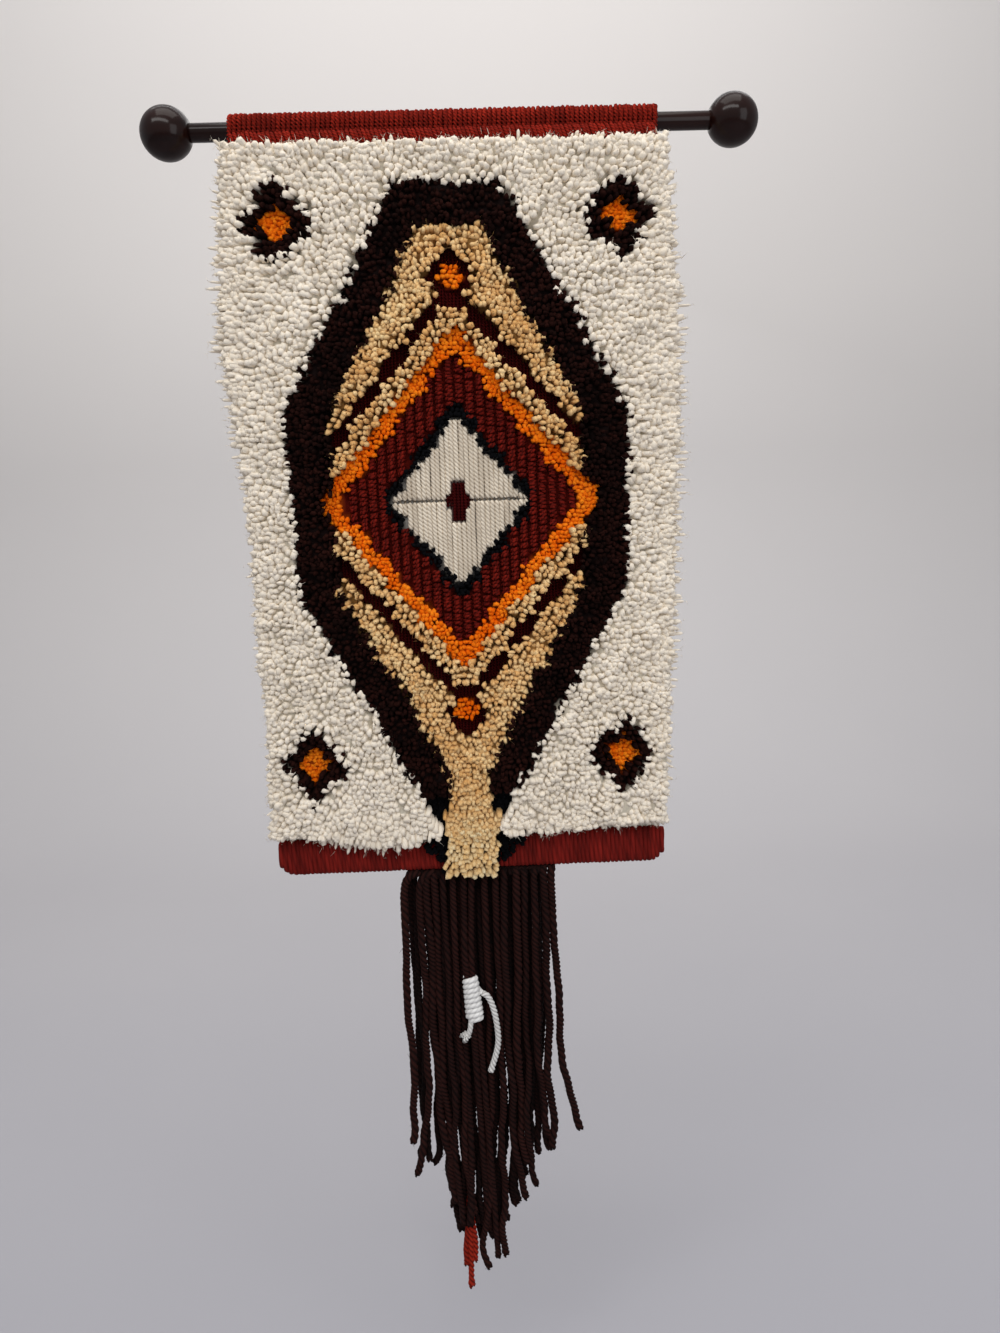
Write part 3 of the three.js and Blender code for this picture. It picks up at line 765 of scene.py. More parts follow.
def lay_floor():
    """A plain pale floor that sweeps up far behind the hanging, painted lighter the higher and the further
    back it is, as painted light.
    """
    deselect()
    bpy.ops.mesh.primitive_plane_add(size=FLOOR_SIZE, location=(0, FLOOR_MIDDLE, FLOOR_LEVEL))
    floor = bpy.context.object
    edit(floor)
    pick(floor, "edges", lambda edge: all(floor.data.vertices[v].co.y > 3 for v in edge.vertices))
    bpy.ops.mesh.extrude_region_move(TRANSFORM_OT_translate={"value": (0, 0, SWEEP_HEIGHT)})
    close_edit()
    round_edges(floor, SWEEP_BEND, segments=16, angle=30)
    finish_piece(floor, "floor")
    pale = Finish("pale_floor", Roughness=0.8, Specular_IOR_Level=0.2)
    _, back, up = pale.place()
    # Painted light: the sweep is lighter the higher and the further back it is.
    painted_sweep_light = 0.25 * back + 0.35 * (up - FLOOR_LEVEL)
    pale.blend(painted_sweep_light + 0.08 * (pale.noise(*FLOOR_CLOUDS) - 0.5), *FLOOR_COLOURS)
    floor.data.materials.append(pale.material)


aim_camera()
light_studio()
lay_floor()

# ---------------------------------------------------------------- cords

TIE_RADIUS, TIE_TURN = 2.5, 11
RUST_RADIUS, RUST_TURN = 2.6, 14
WRAP_Y = FRINGE_Y - 6.2
TIE_END_ROUTE = [
    # across, forward, height
    (-1.3, 0.9, -655.4),
    (1.8, 1.1, -656.8),
    (4.5, 1.4, -660.8),
    (6.7, 1.7, -666.6),
    (8.3, 2, -673.6),
    (9.4, 2.2, -681),
    (10.1, 2.2, -688.6),
    (10.3, 2, -696),
    (9.3, 1.8, -703.4),
    (7.4, 1.6, -710.6),
    (5.2, 1.4, -717.4),
    (3.2, 1.2, -724),
]
RUST_ROUTE = [
    # across, back, height
    (-16.7, 3.4, -557),
    (-16.6, 3.8, -580),
    (-16.5, 3.9, -605),
    (-16.5, 4, -630),
    (-16.5, 4, -655),
    (-16.5, 4, -680),
    (-16.6, 4, -705),
    (-16.7, 3.9, -730),
    (-16.9, 3.6, -755),
    (-17.1, 3, -780),
    (-17.4, 2, -805),
    (-17.8, 0.6, -830),
    (-18.4, -1, -852),
    (-18.9, -1.8, -876),
    (-19.4, -2, -900),
    (-19.9, -2, -923),
]


def fringe_line(places, step):
    """A smooth line through places given as across, back from the fringe's middle, and height."""
    return smooth_path([(x, FRINGE_Y + back, z) for x, back, z in places], step)


def free_cord(name, node, line, radius, finish, slot, turn, tail):
    """A free yarn along its line. tail is how wide its cut end is."""
    piece = lay_yarn(name, [line], radius, turn, groove=0.3, ends=(0.9, tail))
    dress(piece, finish, slot, node)


tie_line = smooth_path([(x, WRAP_Y - forward, z) for x, forward, z in TIE_END_ROUTE], 1.2)
free_cord("tie_loose_end", "tie_end", tie_line, TIE_RADIUS, "white_yarn", "white_yarn", TIE_TURN, 1.2)
rust_line = fringe_line(RUST_ROUTE, 1.5)
free_cord(
    "long_rust_strand", "rust_strand", rust_line, RUST_RADIUS, "rust_strand", "rust_yarn", RUST_TURN, 1.25
)

# ---------------------------------------------------------------- rod and knobs

KNOB_BORE = ROD_RADIUS + 0.4
KNOB_LIP = 1.6


def turn_knob(name, node, side):
    """A ball with a flat and a blind hole for the rod's end."""
    deselect()
    bpy.ops.mesh.primitive_uv_sphere_add(segments=64, ring_count=40, radius=KNOB_RADIUS * MM)
    knob = bpy.context.object
    flat = -math.sqrt(KNOB_RADIUS**2 - (KNOB_BORE + KNOB_LIP) ** 2) * MM
    edit(knob)
    bpy.ops.mesh.select_all(action="SELECT")
    bpy.ops.mesh.bisect(plane_co=(0, 0, flat), plane_no=(0, 0, -1), use_fill=True, clear_outer=True)
    pick(knob, "polygons", lambda face: face.normal.z < -0.99 and abs(face.center.z - flat) < 1e-5)
    bpy.ops.mesh.inset(thickness=KNOB_LIP * MM)
    bpy.ops.mesh.extrude_region_move(TRANSFORM_OT_translate={"value": (0, 0, KNOB_SOCKET * MM)})
    close_edit()
    round_edges(knob, 0.5 * MM, segments=2, angle=40)
    knob.rotation_euler = (0, side * math.pi / 2, 0)
    knob.location = (side * KNOB_CENTRE * MM, 0, 0)
    dress(finish_piece(knob, name), "wood", "wood", node)


def turn_rod():
    """A dowel that reaches nearly to the bottom of both knobs' holes."""
    length = 2 * (KNOB_CENTRE - KNOB_RADIUS + KNOB_SOCKET - GAP) * MM
    deselect()
    bpy.ops.mesh.primitive_cylinder_add(
        vertices=48, radius=ROD_RADIUS * MM, depth=length, rotation=(0, math.pi / 2, 0)
    )
    rod = bpy.context.object
    round_edges(rod, 0.6 * MM, segments=2, angle=40)
    dress(finish_piece(rod, "dowel"), "wood", "wood", "rod")


turn_rod()
turn_knob("left_ball", "knob_left", -1)
turn_knob("right_ball", "knob_right", 1)

# ---------------------------------------------------------------- the hooked picture

FIELD_MIDDLE = -262
MEDALLION = (104, 128)
MEDALLION_RINGS = [(0.13, "maroon"), (0.5, "satin"), (0.57, "black"), (0.86, "loops"), (1, "orange")]
ECHO_LINE = (1.11, 1.27)
BORDER_HALF_WIDTH, BORDER_END_HALF_WIDTH, BORDER_BAND = 122, 26, 33
BORDER_SHOULDER, BORDER_END = 64, 243
BORDER_TOP_OUTSIDE, BORDER_TOP_INSIDE = 218, 188
TONGUE_HALF_WIDTH, TONGUE_START, TONGUE_FULL, BLACK_FOOT = 18.5, -190, -235, -222
LOZENGE, LOZENGE_OFFSET, LOZENGE_HEART = (21, 24), 158, 0.45
CORNER, CORNER_PLACE, CORNER_HEART = (27, 29), (117, 195), 0.5

# Height of each technique above the canvas.
RISE = {
    "cream": 15,
    "brown": 14,
    "tan": 13,
    "orange": 8,
    "loops": 7,
    "black": 6,
    "satin": 3,
    "maroon": 3,
}


def diamond(x, z, half_sizes):
    """One on the diamond's outline, less inside it."""
    return np.abs(x) / half_sizes[0] + np.abs(z) / half_sizes[1]


def share_of(start, stop, at):
    """Nought at the start and before it, one at the stop and past it."""
    return np.clip((at - start) / (stop - start), 0, 1)


def hole_middle(at):
    """The middle of the canvas hole that a place is in."""
    return (np.floor(at / MESH) + 0.5) * MESH


def technique_at(x, z):
    """The technique worked in the canvas holes at these places."""
    x, up = hole_middle(np.asarray(x, float)), hole_middle(np.asarray(z, float) - FIELD_MIDDLE)
    away = np.abs(up)
    out = diamond(x, up, MEDALLION)
    taper = share_of(BORDER_SHOULDER, BORDER_END, away)
    outside = BORDER_HALF_WIDTH + (BORDER_END_HALF_WIDTH - BORDER_HALF_WIDTH) * taper
    inside = outside - BORDER_BAND
    inside = inside + (TONGUE_HALF_WIDTH - inside) * share_of(TONGUE_START, TONGUE_FULL, up)
    ground = (np.abs(x) < inside) & (up < BORDER_TOP_INSIDE)
    border = (np.abs(x) < outside) & (up < BORDER_TOP_OUTSIDE)
    lozenge = diamond(x, away - LOZENGE_OFFSET, LOZENGE)
    corner = diamond(np.abs(x) - CORNER_PLACE[0], away - CORNER_PLACE[1], CORNER)
    rules = [(out <= limit, technique) for limit, technique in MEDALLION_RINGS]
    rules += [
        (ground & (lozenge <= LOZENGE_HEART), "orange"),
        (ground & (lozenge <= 1), "maroon"),
        (ground & (out > ECHO_LINE[0]) & (out < ECHO_LINE[1]), "maroon"),
        (ground, "tan"),
        (border & (up < BLACK_FOOT), "black"),
        (border, "brown"),
        (corner <= CORNER_HEART, "orange"),
        (corner <= 1, "brown"),
    ]
    return np.select([rule for rule, _ in rules], [technique for _, technique in rules], default="cream")


def rise_at(x, z):
    """The height of what is worked at these places."""
    worked = technique_at(x, z)
    return np.select([worked == technique for technique in RISE], list(RISE.values()))


YARN_COLOURS = {
    "cream": (236, 225, 204),
    "brown": (26, 10, 8),
    "tan": (196, 142, 78),
    "orange": (206, 84, 4),
    "loops": (130, 28, 14),
    "black": (10, 10, 12),
    "satin": (228, 222, 212),
    "maroon": (92, 8, 8),
}


def add_yarn_colours(piece, worked, copies=1, uneven=0.0, shaded=0.0):
    """Colours a piece's points by the yarn worked there, darkened by shaded as painted shade except where
    cream is worked.
    """
    colours = np.ones((len(worked), 4), np.float32)
    for technique, screen in YARN_COLOURS.items():
        colours[worked == technique] = paint(*screen)
    colours[:, :3] *= 1 - uneven * chance.random((len(worked), 1))
    # Painted shade: shaded darkens all but the cream, as on the pile's depth between the tufts.
    colours[:, :3] *= np.where(worked == "cream", 1, 1 - shaded)[:, None]
    attribute = piece.data.attributes.new("yarn_colour", "FLOAT_COLOR", "POINT")
    attribute.data.foreach_set("color", np.repeat(colours, copies, axis=0).ravel())


# ---------------------------------------------------------------- cut pile

# The least and the most of what differs from one tuft or fibre to the next.
TUFT_WIDTHS = (0.84, 1.12)
EDGE_LEANS, EDGE_RISES, EDGE_WIDTHS = (0.75, 1.25), (0.85, 1.1), (0.8, 1.2)
TONGUE_DROPS, TONGUE_RISES, TONGUE_WIDTHS = (-6.5, -4), (0.86, 1.1), (0.9, 1.1)
FIBRE_RISES, FIBRE_WIDTHS = (0.8, 3.4), (0.12, 0.24)

TUFT_CONE, TUFT_SIDE, TUFT_DOME = 0.62, 0.25, 0.13  # parts of its height
SHOULDER = (0.8, 0.95)


def cut_tuft():
    """One cut yarn end of unit height: a point at its knot, and a soft dome where its three plies part."""
    deselect()
    bpy.ops.mesh.primitive_cone_add(
        vertices=6, radius1=1, radius2=0, depth=TUFT_CONE, rotation=(math.pi, 0, 0)
    )
    tuft = bpy.context.object
    tuft.location.z = TUFT_CONE / 2
    bpy.ops.object.transform_apply(location=True, rotation=True)
    edit(tuft)
    pick(tuft, "polygons", lambda face: face.normal.z > 0.9)
    bpy.ops.mesh.extrude_region_move(TRANSFORM_OT_translate={"value": (0, 0, TUFT_SIDE)})
    bpy.ops.transform.resize(value=(0.88, 0.88, 1))
    bpy.ops.mesh.poke()
    pick(tuft, "vertices", lambda corner: corner.co.z > SHOULDER[0] and corner.co.xy.length < 0.01)
    bpy.ops.transform.translate(value=(0, 0, TUFT_DOME))

    def between_plies(corner):
        sixth = round(math.atan2(*corner.co.yx) * 3 / math.pi)
        return SHOULDER[0] < corner.co.z < SHOULDER[1] and sixth % 2

    pick(tuft, "vertices", between_plies)
    bpy.ops.transform.resize(value=(0.82, 0.82, 1))
    bpy.ops.transform.translate(value=(0, 0, -0.03))
    close_edit()
    return take_unit(tuft)


def loose_fibre():
    """One stray fibre of unit height, drawn out to a point."""
    deselect()
    bpy.ops.mesh.primitive_cone_add(vertices=3, radius1=1, radius2=0, depth=1, location=(0, 0, 0.5))
    bpy.ops.object.transform_apply(location=True)
    return take_unit(bpy.context.object)


def plant(name, unit, roots, rises, leans, widths, curl=0.0, rough=0.13):
    """Copies of a unit rooted at the roots, each leaning out of the cloth. curl turns their tips forward
    again, and rough is how uneven each one is."""
    points, faces = unit
    count = len(roots)
    up = np.tile(points[:, 2], (count, 1))
    shoulder = (points[:, 2] > SHOULDER[0]) & (points[:, 2] < SHOULDER[1])
    reach = np.hypot(rises, 1.6 * np.linalg.norm(leans, axis=1))
    up[:, shoulder] = 1 - np.clip(0.42 * widths / reach, 0.05, 0.2)[:, None]
    curl = np.broadcast_to(curl, count)[:, None]
    bend = (1 - curl) * up**2 + curl * (3 * up**2 - 2 * up**3)
    slope = (1 - curl) * 2 * up + curl * 6 * (up - up**2)
    spin = chance.uniform(0, 2 * math.pi, count)[:, None]
    flat = chance.normal(0, 0.15, count)[:, None]
    widths, rises = widths[:, None], rises[:, None]
    unit_x, unit_y = points[:, 0], points[:, 1]
    local_x = (unit_x * np.cos(spin) - unit_y * np.sin(spin)) * widths * (1 + flat)
    local_y = (unit_x * np.sin(spin) + unit_y * np.cos(spin)) * widths * (1 - flat)
    lean_x, lean_z = leans[:, 0, None], leans[:, 1, None]
    line = roots[:, None, :] + join(lean_x * bend, -rises * up, lean_z * bend)
    ahead = join(lean_x * slope, -rises + 0 * up, lean_z * slope)
    ahead /= np.linalg.norm(ahead, axis=-1, keepdims=True)
    beside = np.array([1.0, 0, 0]) - ahead[..., :1] * ahead
    beside /= np.linalg.norm(beside, axis=-1, keepdims=True)
    across = np.cross(ahead, beside)
    copies = line + local_x[..., None] * beside + local_y[..., None] * across
    copies += chance.normal(0, rough, copies.shape) * widths[..., None]
    piece = piece_from_copies(name, faces, hang(copies))
    add_attribute(piece, "tip", np.tile(points[:, 2], count))
    add_attribute(piece, "shade", np.repeat(chance.random(count), len(points)))
    return piece


def staggered(pitch, left, right, bottom, top, loose=0.2):
    """Places in offset rows, each a little out of its place."""
    rows = np.arange(top - pitch / 2, bottom, -pitch * 0.93)
    across = np.arange(left + pitch / 2, right, pitch)
    x = across[None, :] + np.where(np.arange(len(rows)) % 2, pitch / 4, -pitch / 4)[:, None]
    z = np.repeat(rows[:, None], len(across), axis=1)
    x = x + chance.normal(0, loose * pitch * 0.6, x.shape)
    z = z + chance.normal(0, loose * pitch * 0.6, z.shape)
    return x.ravel(), z.ravel()


class Drift:
    """A smooth wandering value over the cloth: a sum of waves about as long as given."""

    def __init__(self, length, waves=12):
        turns = chance.uniform(0, 2 * math.pi, waves)
        lengths = length * chance.uniform(0.7, 1.5, waves)
        self.pull = np.stack([np.cos(turns), np.sin(turns)]) * 2 * math.pi / lengths
        self.start = chance.uniform(0, 2 * math.pi, waves)

    def __call__(self, x, z):
        turns = x[:, None] * self.pull[0] + z[:, None] * self.pull[1] + self.start
        return np.sin(turns).sum(axis=1) / math.sqrt(len(self.start) / 2)


DRIFT_ACROSS, DRIFT_UP, DRIFT_RISE = Drift(24), Drift(24), Drift(30)


def edge_lean(x, z):
    """How far the tips lean out over the cloth's sides, top and foot."""
    across = (x + HALF_WIDTH) / CANVAS_WIDTH
    down = share_of(PILE_TOP, PILE_BOTTOM, z)
    left, right = smooth_steps(z, EDGE_REACH, 1), smooth_steps(z, EDGE_REACH, 2)
    foot = smooth_steps(x, FOOT_REACH, 1)
    aside = right * across**6 - left * (1 - across) ** 6
    return np.stack([aside, TOP_REACH * (1 - down) ** 12 - foot * down**12], -1)


def roots_under(tip_x, tip_z):
    """Where tufts are rooted whose tips stand at these places after they lean out."""
    x, z = tip_x, tip_z
    for _ in range(16):
        lean = edge_lean(x, z) * FRONT_REACH
        x, z = tip_x - lean[:, 0], tip_z - lean[:, 1]
    return x, z


def on_canvas(x, z, proud=0.0):
    """Places on the canvas's front, or as far proud of it as given."""
    return join(x, CANVAS_FRONT + canvas_wave(x, z) - proud, z)


def grid_faces(rows, columns):
    """The numbers of a grid of points, and the faces between neighbours."""
    number = np.arange(rows * columns).reshape(rows, columns)
    corners = [number[:-1, :-1], number[:-1, 1:], number[1:, 1:], number[1:, :-1]]
    return number, np.stack(corners, -1).reshape(-1, 4)


def all_round(reading, x, z):
    """What is read at each place and half a hole away from it on every side."""
    steps = (-MESH / 2, 0, MESH / 2)
    return [reading(x + aside, z + up) for aside in steps for up in steps]


DEPTH_COLUMNS, DEPTH_ROWS = 69, 112
DEPTH_SHARE, BORDER_DEPTH_SHARE = 0.72, 0.5  # of the pile's height
DEPTH_UNDER_LOW, DEPTH_LEAN = 0.35, 0.55


def pile_depth():
    """The dense fibre between the tufts, as one low block over the whole field, in each yarn's own colour,
    painted darker as shade except under the cream.
    """
    x, z = np.meshgrid(
        np.linspace(1 - HALF_WIDTH, HALF_WIDTH - 1, DEPTH_COLUMNS),
        np.linspace(PILE_BOTTOM + 1, PILE_TOP - 1, DEPTH_ROWS),
    )
    worked = technique_at(x, z)
    rise = np.min(all_round(rise_at, x, z), axis=0)
    border = np.any([near != worked for near in all_round(technique_at, x, z)], axis=0)
    dense = np.where(border, BORDER_DEPTH_SHARE, DEPTH_SHARE) * rise + chance.normal(0, 0.9, x.shape)
    rise = np.where(rise > RISE["loops"], dense, DEPTH_UNDER_LOW)
    lean = edge_lean(x.ravel(), z.ravel()).reshape(*x.shape, 2) * DEPTH_LEAN
    front = on_canvas(x + lean[..., 0], z + lean[..., 1], rise)
    back = on_canvas(x, z, 0.1)
    number, faces = grid_faces(*x.shape)
    edge = np.concatenate([number[0], number[1:, -1], number[-1, -2::-1], number[-2:0:-1, 0]])
    rim = np.stack([edge, edge + x.size, np.roll(edge, -1) + x.size, np.roll(edge, -1)], -1)
    faces = np.concatenate([faces, faces[:, ::-1] + x.size, rim])
    points = np.concatenate([front.reshape(-1, 3), back.reshape(-1, 3)])
    piece = piece_from_copies("pile_depth", faces.tolist(), hang(points)[None])
    add_yarn_colours(piece, np.tile(worked.ravel(), 2), uneven=0.2, shaded=0.35)
    return dress(piece, "knots", "cream_yarn")


FRONT_REACH = 0.82  # the pile's front corner stands a little inside its outline
LEAN_TO_LOWER = 0.12  # how far tufts lean over lower pile beside them
BESIDE = 6  # how far away that pile is looked for
TIP_SAG, TIP_SCATTER = 0.8, 0.55
RISE_SHARE, RISE_DRIFT, RISE_SCATTER = 0.97, 0.045, 0.035
CURL_FROM_EDGE = 9  # tufts nearer the pile's edge than this lean straighter out
TIPS_PAST_SIDES, TIPS_PAST_FOOT, TIPS_PAST_TOP = 20, 18, 6
PILE = {
    # technique: pitch, width of a tuft's tip, how far its tips wander, finish, slot
    "cream": (4.1, 2.75, 1.2, "cream_pile", "cream_yarn"),
    "brown": (3.6, 2.1, 1.4, "brown_pile", "brown_yarn"),
    "tan": (3.45, 2.35, 0.8, "tan_pile", "tan_yarn"),
    "orange": (3.3, 2.15, 0.5, "orange_pile", "orange_yarn"),
    "black": (3.3, 1.95, 0.4, "black_pile", "black_yarn"),
}
TUFT = cut_tuft()
FIBRE = loose_fibre()
tips = {technique: [] for technique in PILE}


def grow_pile(technique, part="", within=(-HALF_WIDTH, HALF_WIDTH)):
    """The cut pile of one technique, between two places across the cloth."""
    pitch, width, wander, finish, slot = PILE[technique]
    side = HALF_WIDTH + TIPS_PAST_SIDES
    places = staggered(pitch, -side, side, PILE_BOTTOM - TIPS_PAST_FOOT, PILE_TOP + TIPS_PAST_TOP)
    x, z = roots_under(*places)
    kept = (technique_at(x, z) == technique) & (x >= within[0]) & (x < within[1])
    kept &= (np.abs(x) < HALF_WIDTH - CANVAS_INSET) & (z < PILE_TOP) & (z > PILE_BOTTOM)
    x, z = x[kept], z[kept]
    lean = edge_lean(x, z) * FRONT_REACH
    drift = np.stack([DRIFT_ACROSS(x, z), DRIFT_UP(x, z)], -1)
    lean += wander * (drift + chance.normal(0, TIP_SCATTER, lean.shape))
    lean[:, 0] += LEAN_TO_LOWER * (rise_at(x - BESIDE, z) - rise_at(x + BESIDE, z))
    lean[:, 1] += LEAN_TO_LOWER * (rise_at(x, z - BESIDE) - rise_at(x, z + BESIDE)) - TIP_SAG
    if technique in SPILLS_OVER:
        lean += spill(technique, x, z)
    uneven = RISE_DRIFT * DRIFT_RISE(x, z) + chance.normal(0, RISE_SCATTER, len(x))
    rises = RISE[technique] * RISE_SHARE * (1 + uneven)
    from_edge = np.minimum(HALF_WIDTH - np.abs(x), np.minimum(PILE_TOP - z, z - PILE_BOTTOM))
    curl = np.clip(from_edge / CURL_FROM_EDGE, 0.1, 1)
    widths = width * chance.uniform(*TUFT_WIDTHS, len(x))
    sets = [(x, z, lean, rises, curl, widths)]
    if technique == "cream":
        sets += edge_rows(within, width)
    x, z, lean, rises, curl, widths = (np.concatenate(column) for column in zip(*sets))
    roots = on_canvas(x, z)
    tips[technique].append(roots + np.c_[lean[:, 0], -rises, lean[:, 1]])
    piece = plant(f"{technique}_pile{part}", TUFT, roots, rises, lean, widths, curl)
    return dress(piece, finish, slot)


SPILLS_OVER = {"cream": ("brown", 3.0), "tan": ("brown", 3.0)}


def spill(technique, x, z):
    """How far the tufts at a colour's border lean out over the next colour, each by its own amount."""
    sides = ((MESH, 0), (-MESH, 0), (0, MESH), (0, -MESH))
    neighbour, reach = SPILLS_OVER[technique]
    next_to = [technique_at(x + dx, z + dz) == neighbour for dx, dz in sides]
    right, left, above, below = np.array(next_to, float)
    return np.stack([right - left, above - below], -1) * chance.uniform(-0.5, reach, (len(x), 1))


EDGE_PITCH = 3.5
TONGUE_CLEARANCE = 40
EDGE_ROWS = [
    # rise, reach, inset, plumpness
    (0.22, 0.45, 0, 0.8),
    (0.42, 0.75, 0, 0.75),
    (0.7, 1, 1, 0.7),
    (0.88, 0.95, 3, 0.8),
    (0.6, 1.2, 1, 0.44),
]


def edge_rows(within, width):
    """The outermost tufts lie lower and lower, so the pile's edge is full from the side as well."""
    half = HALF_WIDTH - 1.5
    along = np.arange(PILE_BOTTOM + 2, PILE_TOP, EDGE_PITCH)
    across = np.arange(-half, half, EDGE_PITCH)
    sets = []
    for rise, reach, inset, plump in EDGE_ROWS:
        places = [(np.full(len(along), side), along) for side in (inset - half, half - inset)]
        ends = (PILE_TOP - 1 - inset, PILE_BOTTOM + 1 + inset)
        places += [(across, np.full(len(across), end)) for end in ends]
        for x, z in places:
            x = x + chance.normal(0, 0.4, len(x))
            z = z + chance.normal(0, 0.8, len(z))
            clear_of_tongue = (np.abs(x) > TONGUE_CLEARANCE) | (z > FIELD_MIDDLE)
            kept = (x >= within[0]) & (x < within[1]) & clear_of_tongue
            x, z = x[kept], z[kept]
            count = len(x)
            lean = edge_lean(x, z) * reach * chance.uniform(*EDGE_LEANS, (count, 1))
            lean += chance.normal(0, 1.3, (count, 2))
            rises = RISE["cream"] * rise * chance.uniform(*EDGE_RISES, count)
            widths = width * plump * chance.uniform(*EDGE_WIDTHS, count)
            sets.append((x, z, lean, rises, 0 * rises, widths))
    return sets


cut_pile = [
    grow_pile("cream", "_left", (-HALF_WIDTH, 0)),
    grow_pile("cream", "_right", (0, HALF_WIDTH)),
    grow_pile("brown"),
    grow_pile("tan"),
    grow_pile("orange"),
    grow_pile("black"),
    pile_depth(),
]

# The tongue of pile at the foot falls over the lower binding, stepped in towards its tip.
TONGUE_STEPS = [
    # height, half its width
    (-500, 42),
    (-528, 42),
    (-540, 30),
    (-546, 23),
    (-553, 22),
    (-556, 17),
]
TONGUE_FRONT = -11.3


def grow_tongue(name, x, z, rise, width, finish, slot):
    """Shingled rows of tufts, rooted on the binding's face and hanging down over it."""
    count = len(x)
    rim = share_of(TONGUE_TIP + 16, TONGUE_TIP + 6, z)
    lean = np.c_[
        x * (0.1 + 0.1 * rim) + chance.normal(0, 1.0 + rim, count),
        chance.uniform(*TONGUE_DROPS, count) - chance.uniform(0, 3.5, count) * rim,
    ]
    rises = rise * chance.uniform(*TONGUE_RISES, count) * (1 - 0.12 * rim)
    widths = width * chance.uniform(*TONGUE_WIDTHS, count)
    piece = plant(name, TUFT, np.c_[x, 0 * x + TONGUE_FRONT, z], rises, lean, widths)
    return dress(piece, finish, slot)


def grow_tongues():
    """The tan middle of the tongue, and its black sides."""
    x, z = staggered(3.5, -42, 42, TONGUE_TIP + 7, PILE_BOTTOM + 1)
    heights, halves = np.array(TONGUE_STEPS, float).T
    kept = np.abs(x) < np.interp(5 - z, -heights, halves) - 2
    x, z = x[kept], z[kept]
    tan = np.abs(x) < TONGUE_HALF_WIDTH
    return [
        grow_tongue("tan_tongue", x[tan], z[tan], 9.6, 2.2, "tongue_pile", "tan_yarn"),
        grow_tongue("black_tongue", x[~tan], z[~tan], 4.6, 2.1, "black_pile", "black_yarn"),
    ]


tongue_pile = grow_tongues()

FIBRES = {"cream": 13000, "brown": 5000, "tan": 4500, "orange": 1400}


def shed_fibres(technique, number):
    """Stray fibres that stand out of the cut pile."""
    ends = np.concatenate(tips[technique])
    roots = ends[chance.choice(len(ends), number)] + (0, 1.2, 0) + chance.normal(0, 0.9, (number, 3))
    piece = plant(
        f"{technique}_fibres",
        FIBRE,
        roots,
        chance.uniform(*FIBRE_RISES, number),
        chance.normal(0, 2.0, (number, 2)),
        chance.uniform(*FIBRE_WIDTHS, number),
        rough=0.3,
    )
    return dress(piece, PILE[technique][3], PILE[technique][4])


fibres = [shed_fibres(technique, number) for technique, number in FIBRES.items()]

# ---------------------------------------------------------------- loops and flat stitches

LOOP_WIDTH, LOOP_PITCH, LOOP_RADIUS = 7.4, 3.0, 1.62
LOOP_TURN = Drift(60)
LOOP_HALF_LENGTHS, LOOP_RISES = (2.3, 2.75), (0.88, 1.1)
STITCH_MIDDLE_GAP = 0.3


def lay_loops():
    """Plump loops stacked in columns, each turned a little with its neighbours."""
    arc = np.linspace(0, math.pi, 8)
    height = (RISE["loops"] - 1.4) * np.sin(arc) ** 0.7
    half_width, half_height = MEDALLION
    x, up = np.meshgrid(
        np.arange(-half_width, half_width, LOOP_WIDTH) + LOOP_WIDTH / 2,
        np.arange(-half_height, half_height, LOOP_PITCH) + LOOP_PITCH / 2,
    )
    up = up + np.where(np.arange(x.shape[1]) % 2, LOOP_PITCH / 2, 0)
    x, z = x.ravel(), up.ravel() + FIELD_MIDDLE
    kept = technique_at(x, z) == "loops"
    x, z = x[kept], z[kept]
    turns = 0.32 * LOOP_TURN(x, z) + chance.normal(0, 0.1, len(x))
    runs = []
    for middle_x, middle_z, turn in zip(x, z, turns):
        along = -np.cos(arc) * chance.uniform(*LOOP_HALF_LENGTHS)
        beside = chance.normal(0, 0.6) * np.sin(arc) + chance.normal(0, 0.2)
        run_x = middle_x + along * math.cos(turn) - beside * math.sin(turn)
        run_z = middle_z + along * math.sin(turn) + beside * math.cos(turn)
        runs.append(hang(on_canvas(run_x, run_z, height * chance.uniform(*LOOP_RISES) - 0.4)))
    return lay_yarn("rust_loops", runs, LOOP_RADIUS, turn=6, plies=2, groove=0.25)


def stitch(x, top, bottom, radius, step):
    """One upright stitch, drawn down into the canvas at both ends."""
    share = np.linspace(0, 1, max(5, round((top - bottom) / step)))
    z = top + (bottom - top) * share
    sunk = np.minimum(1, np.minimum(share, 1 - share) * (top - bottom) / 2.2)
    wander = chance.normal(0, 0.12) + 0.15 * wavy(share * 5)
    return hang(on_canvas(x + wander, z, (radius - 0.2) * sunk**0.5 + 0.1))


def lay_stitches(name, technique, pitch, radius, step, turn, split=False):
    """Long upright stitches side by side, each in two lengths over the middle of the field if split."""
    runs = []
    z = np.arange(PILE_TOP, PILE_BOTTOM, -1.0)
    for x in np.arange(-HALF_WIDTH + pitch / 2, HALF_WIDTH, pitch):
        worked = technique_at(np.full(len(z), x), z) == technique
        turns = np.flatnonzero(np.diff(np.r_[0, worked.astype(int), 0]))
        for start, stop in zip(turns[::2], turns[1::2]):
            top, bottom = z[start], z[min(stop, len(z) - 1)]
            spans = [(top, bottom)]
            if split and bottom < FIELD_MIDDLE < top:
                spans = [(top, FIELD_MIDDLE + STITCH_MIDDLE_GAP), (FIELD_MIDDLE - STITCH_MIDDLE_GAP, bottom)]
            runs += [stitch(x, *span, radius, step) for span in spans]
    return lay_yarn(name, runs, radius, turn, ends=(0.5, 0.5))


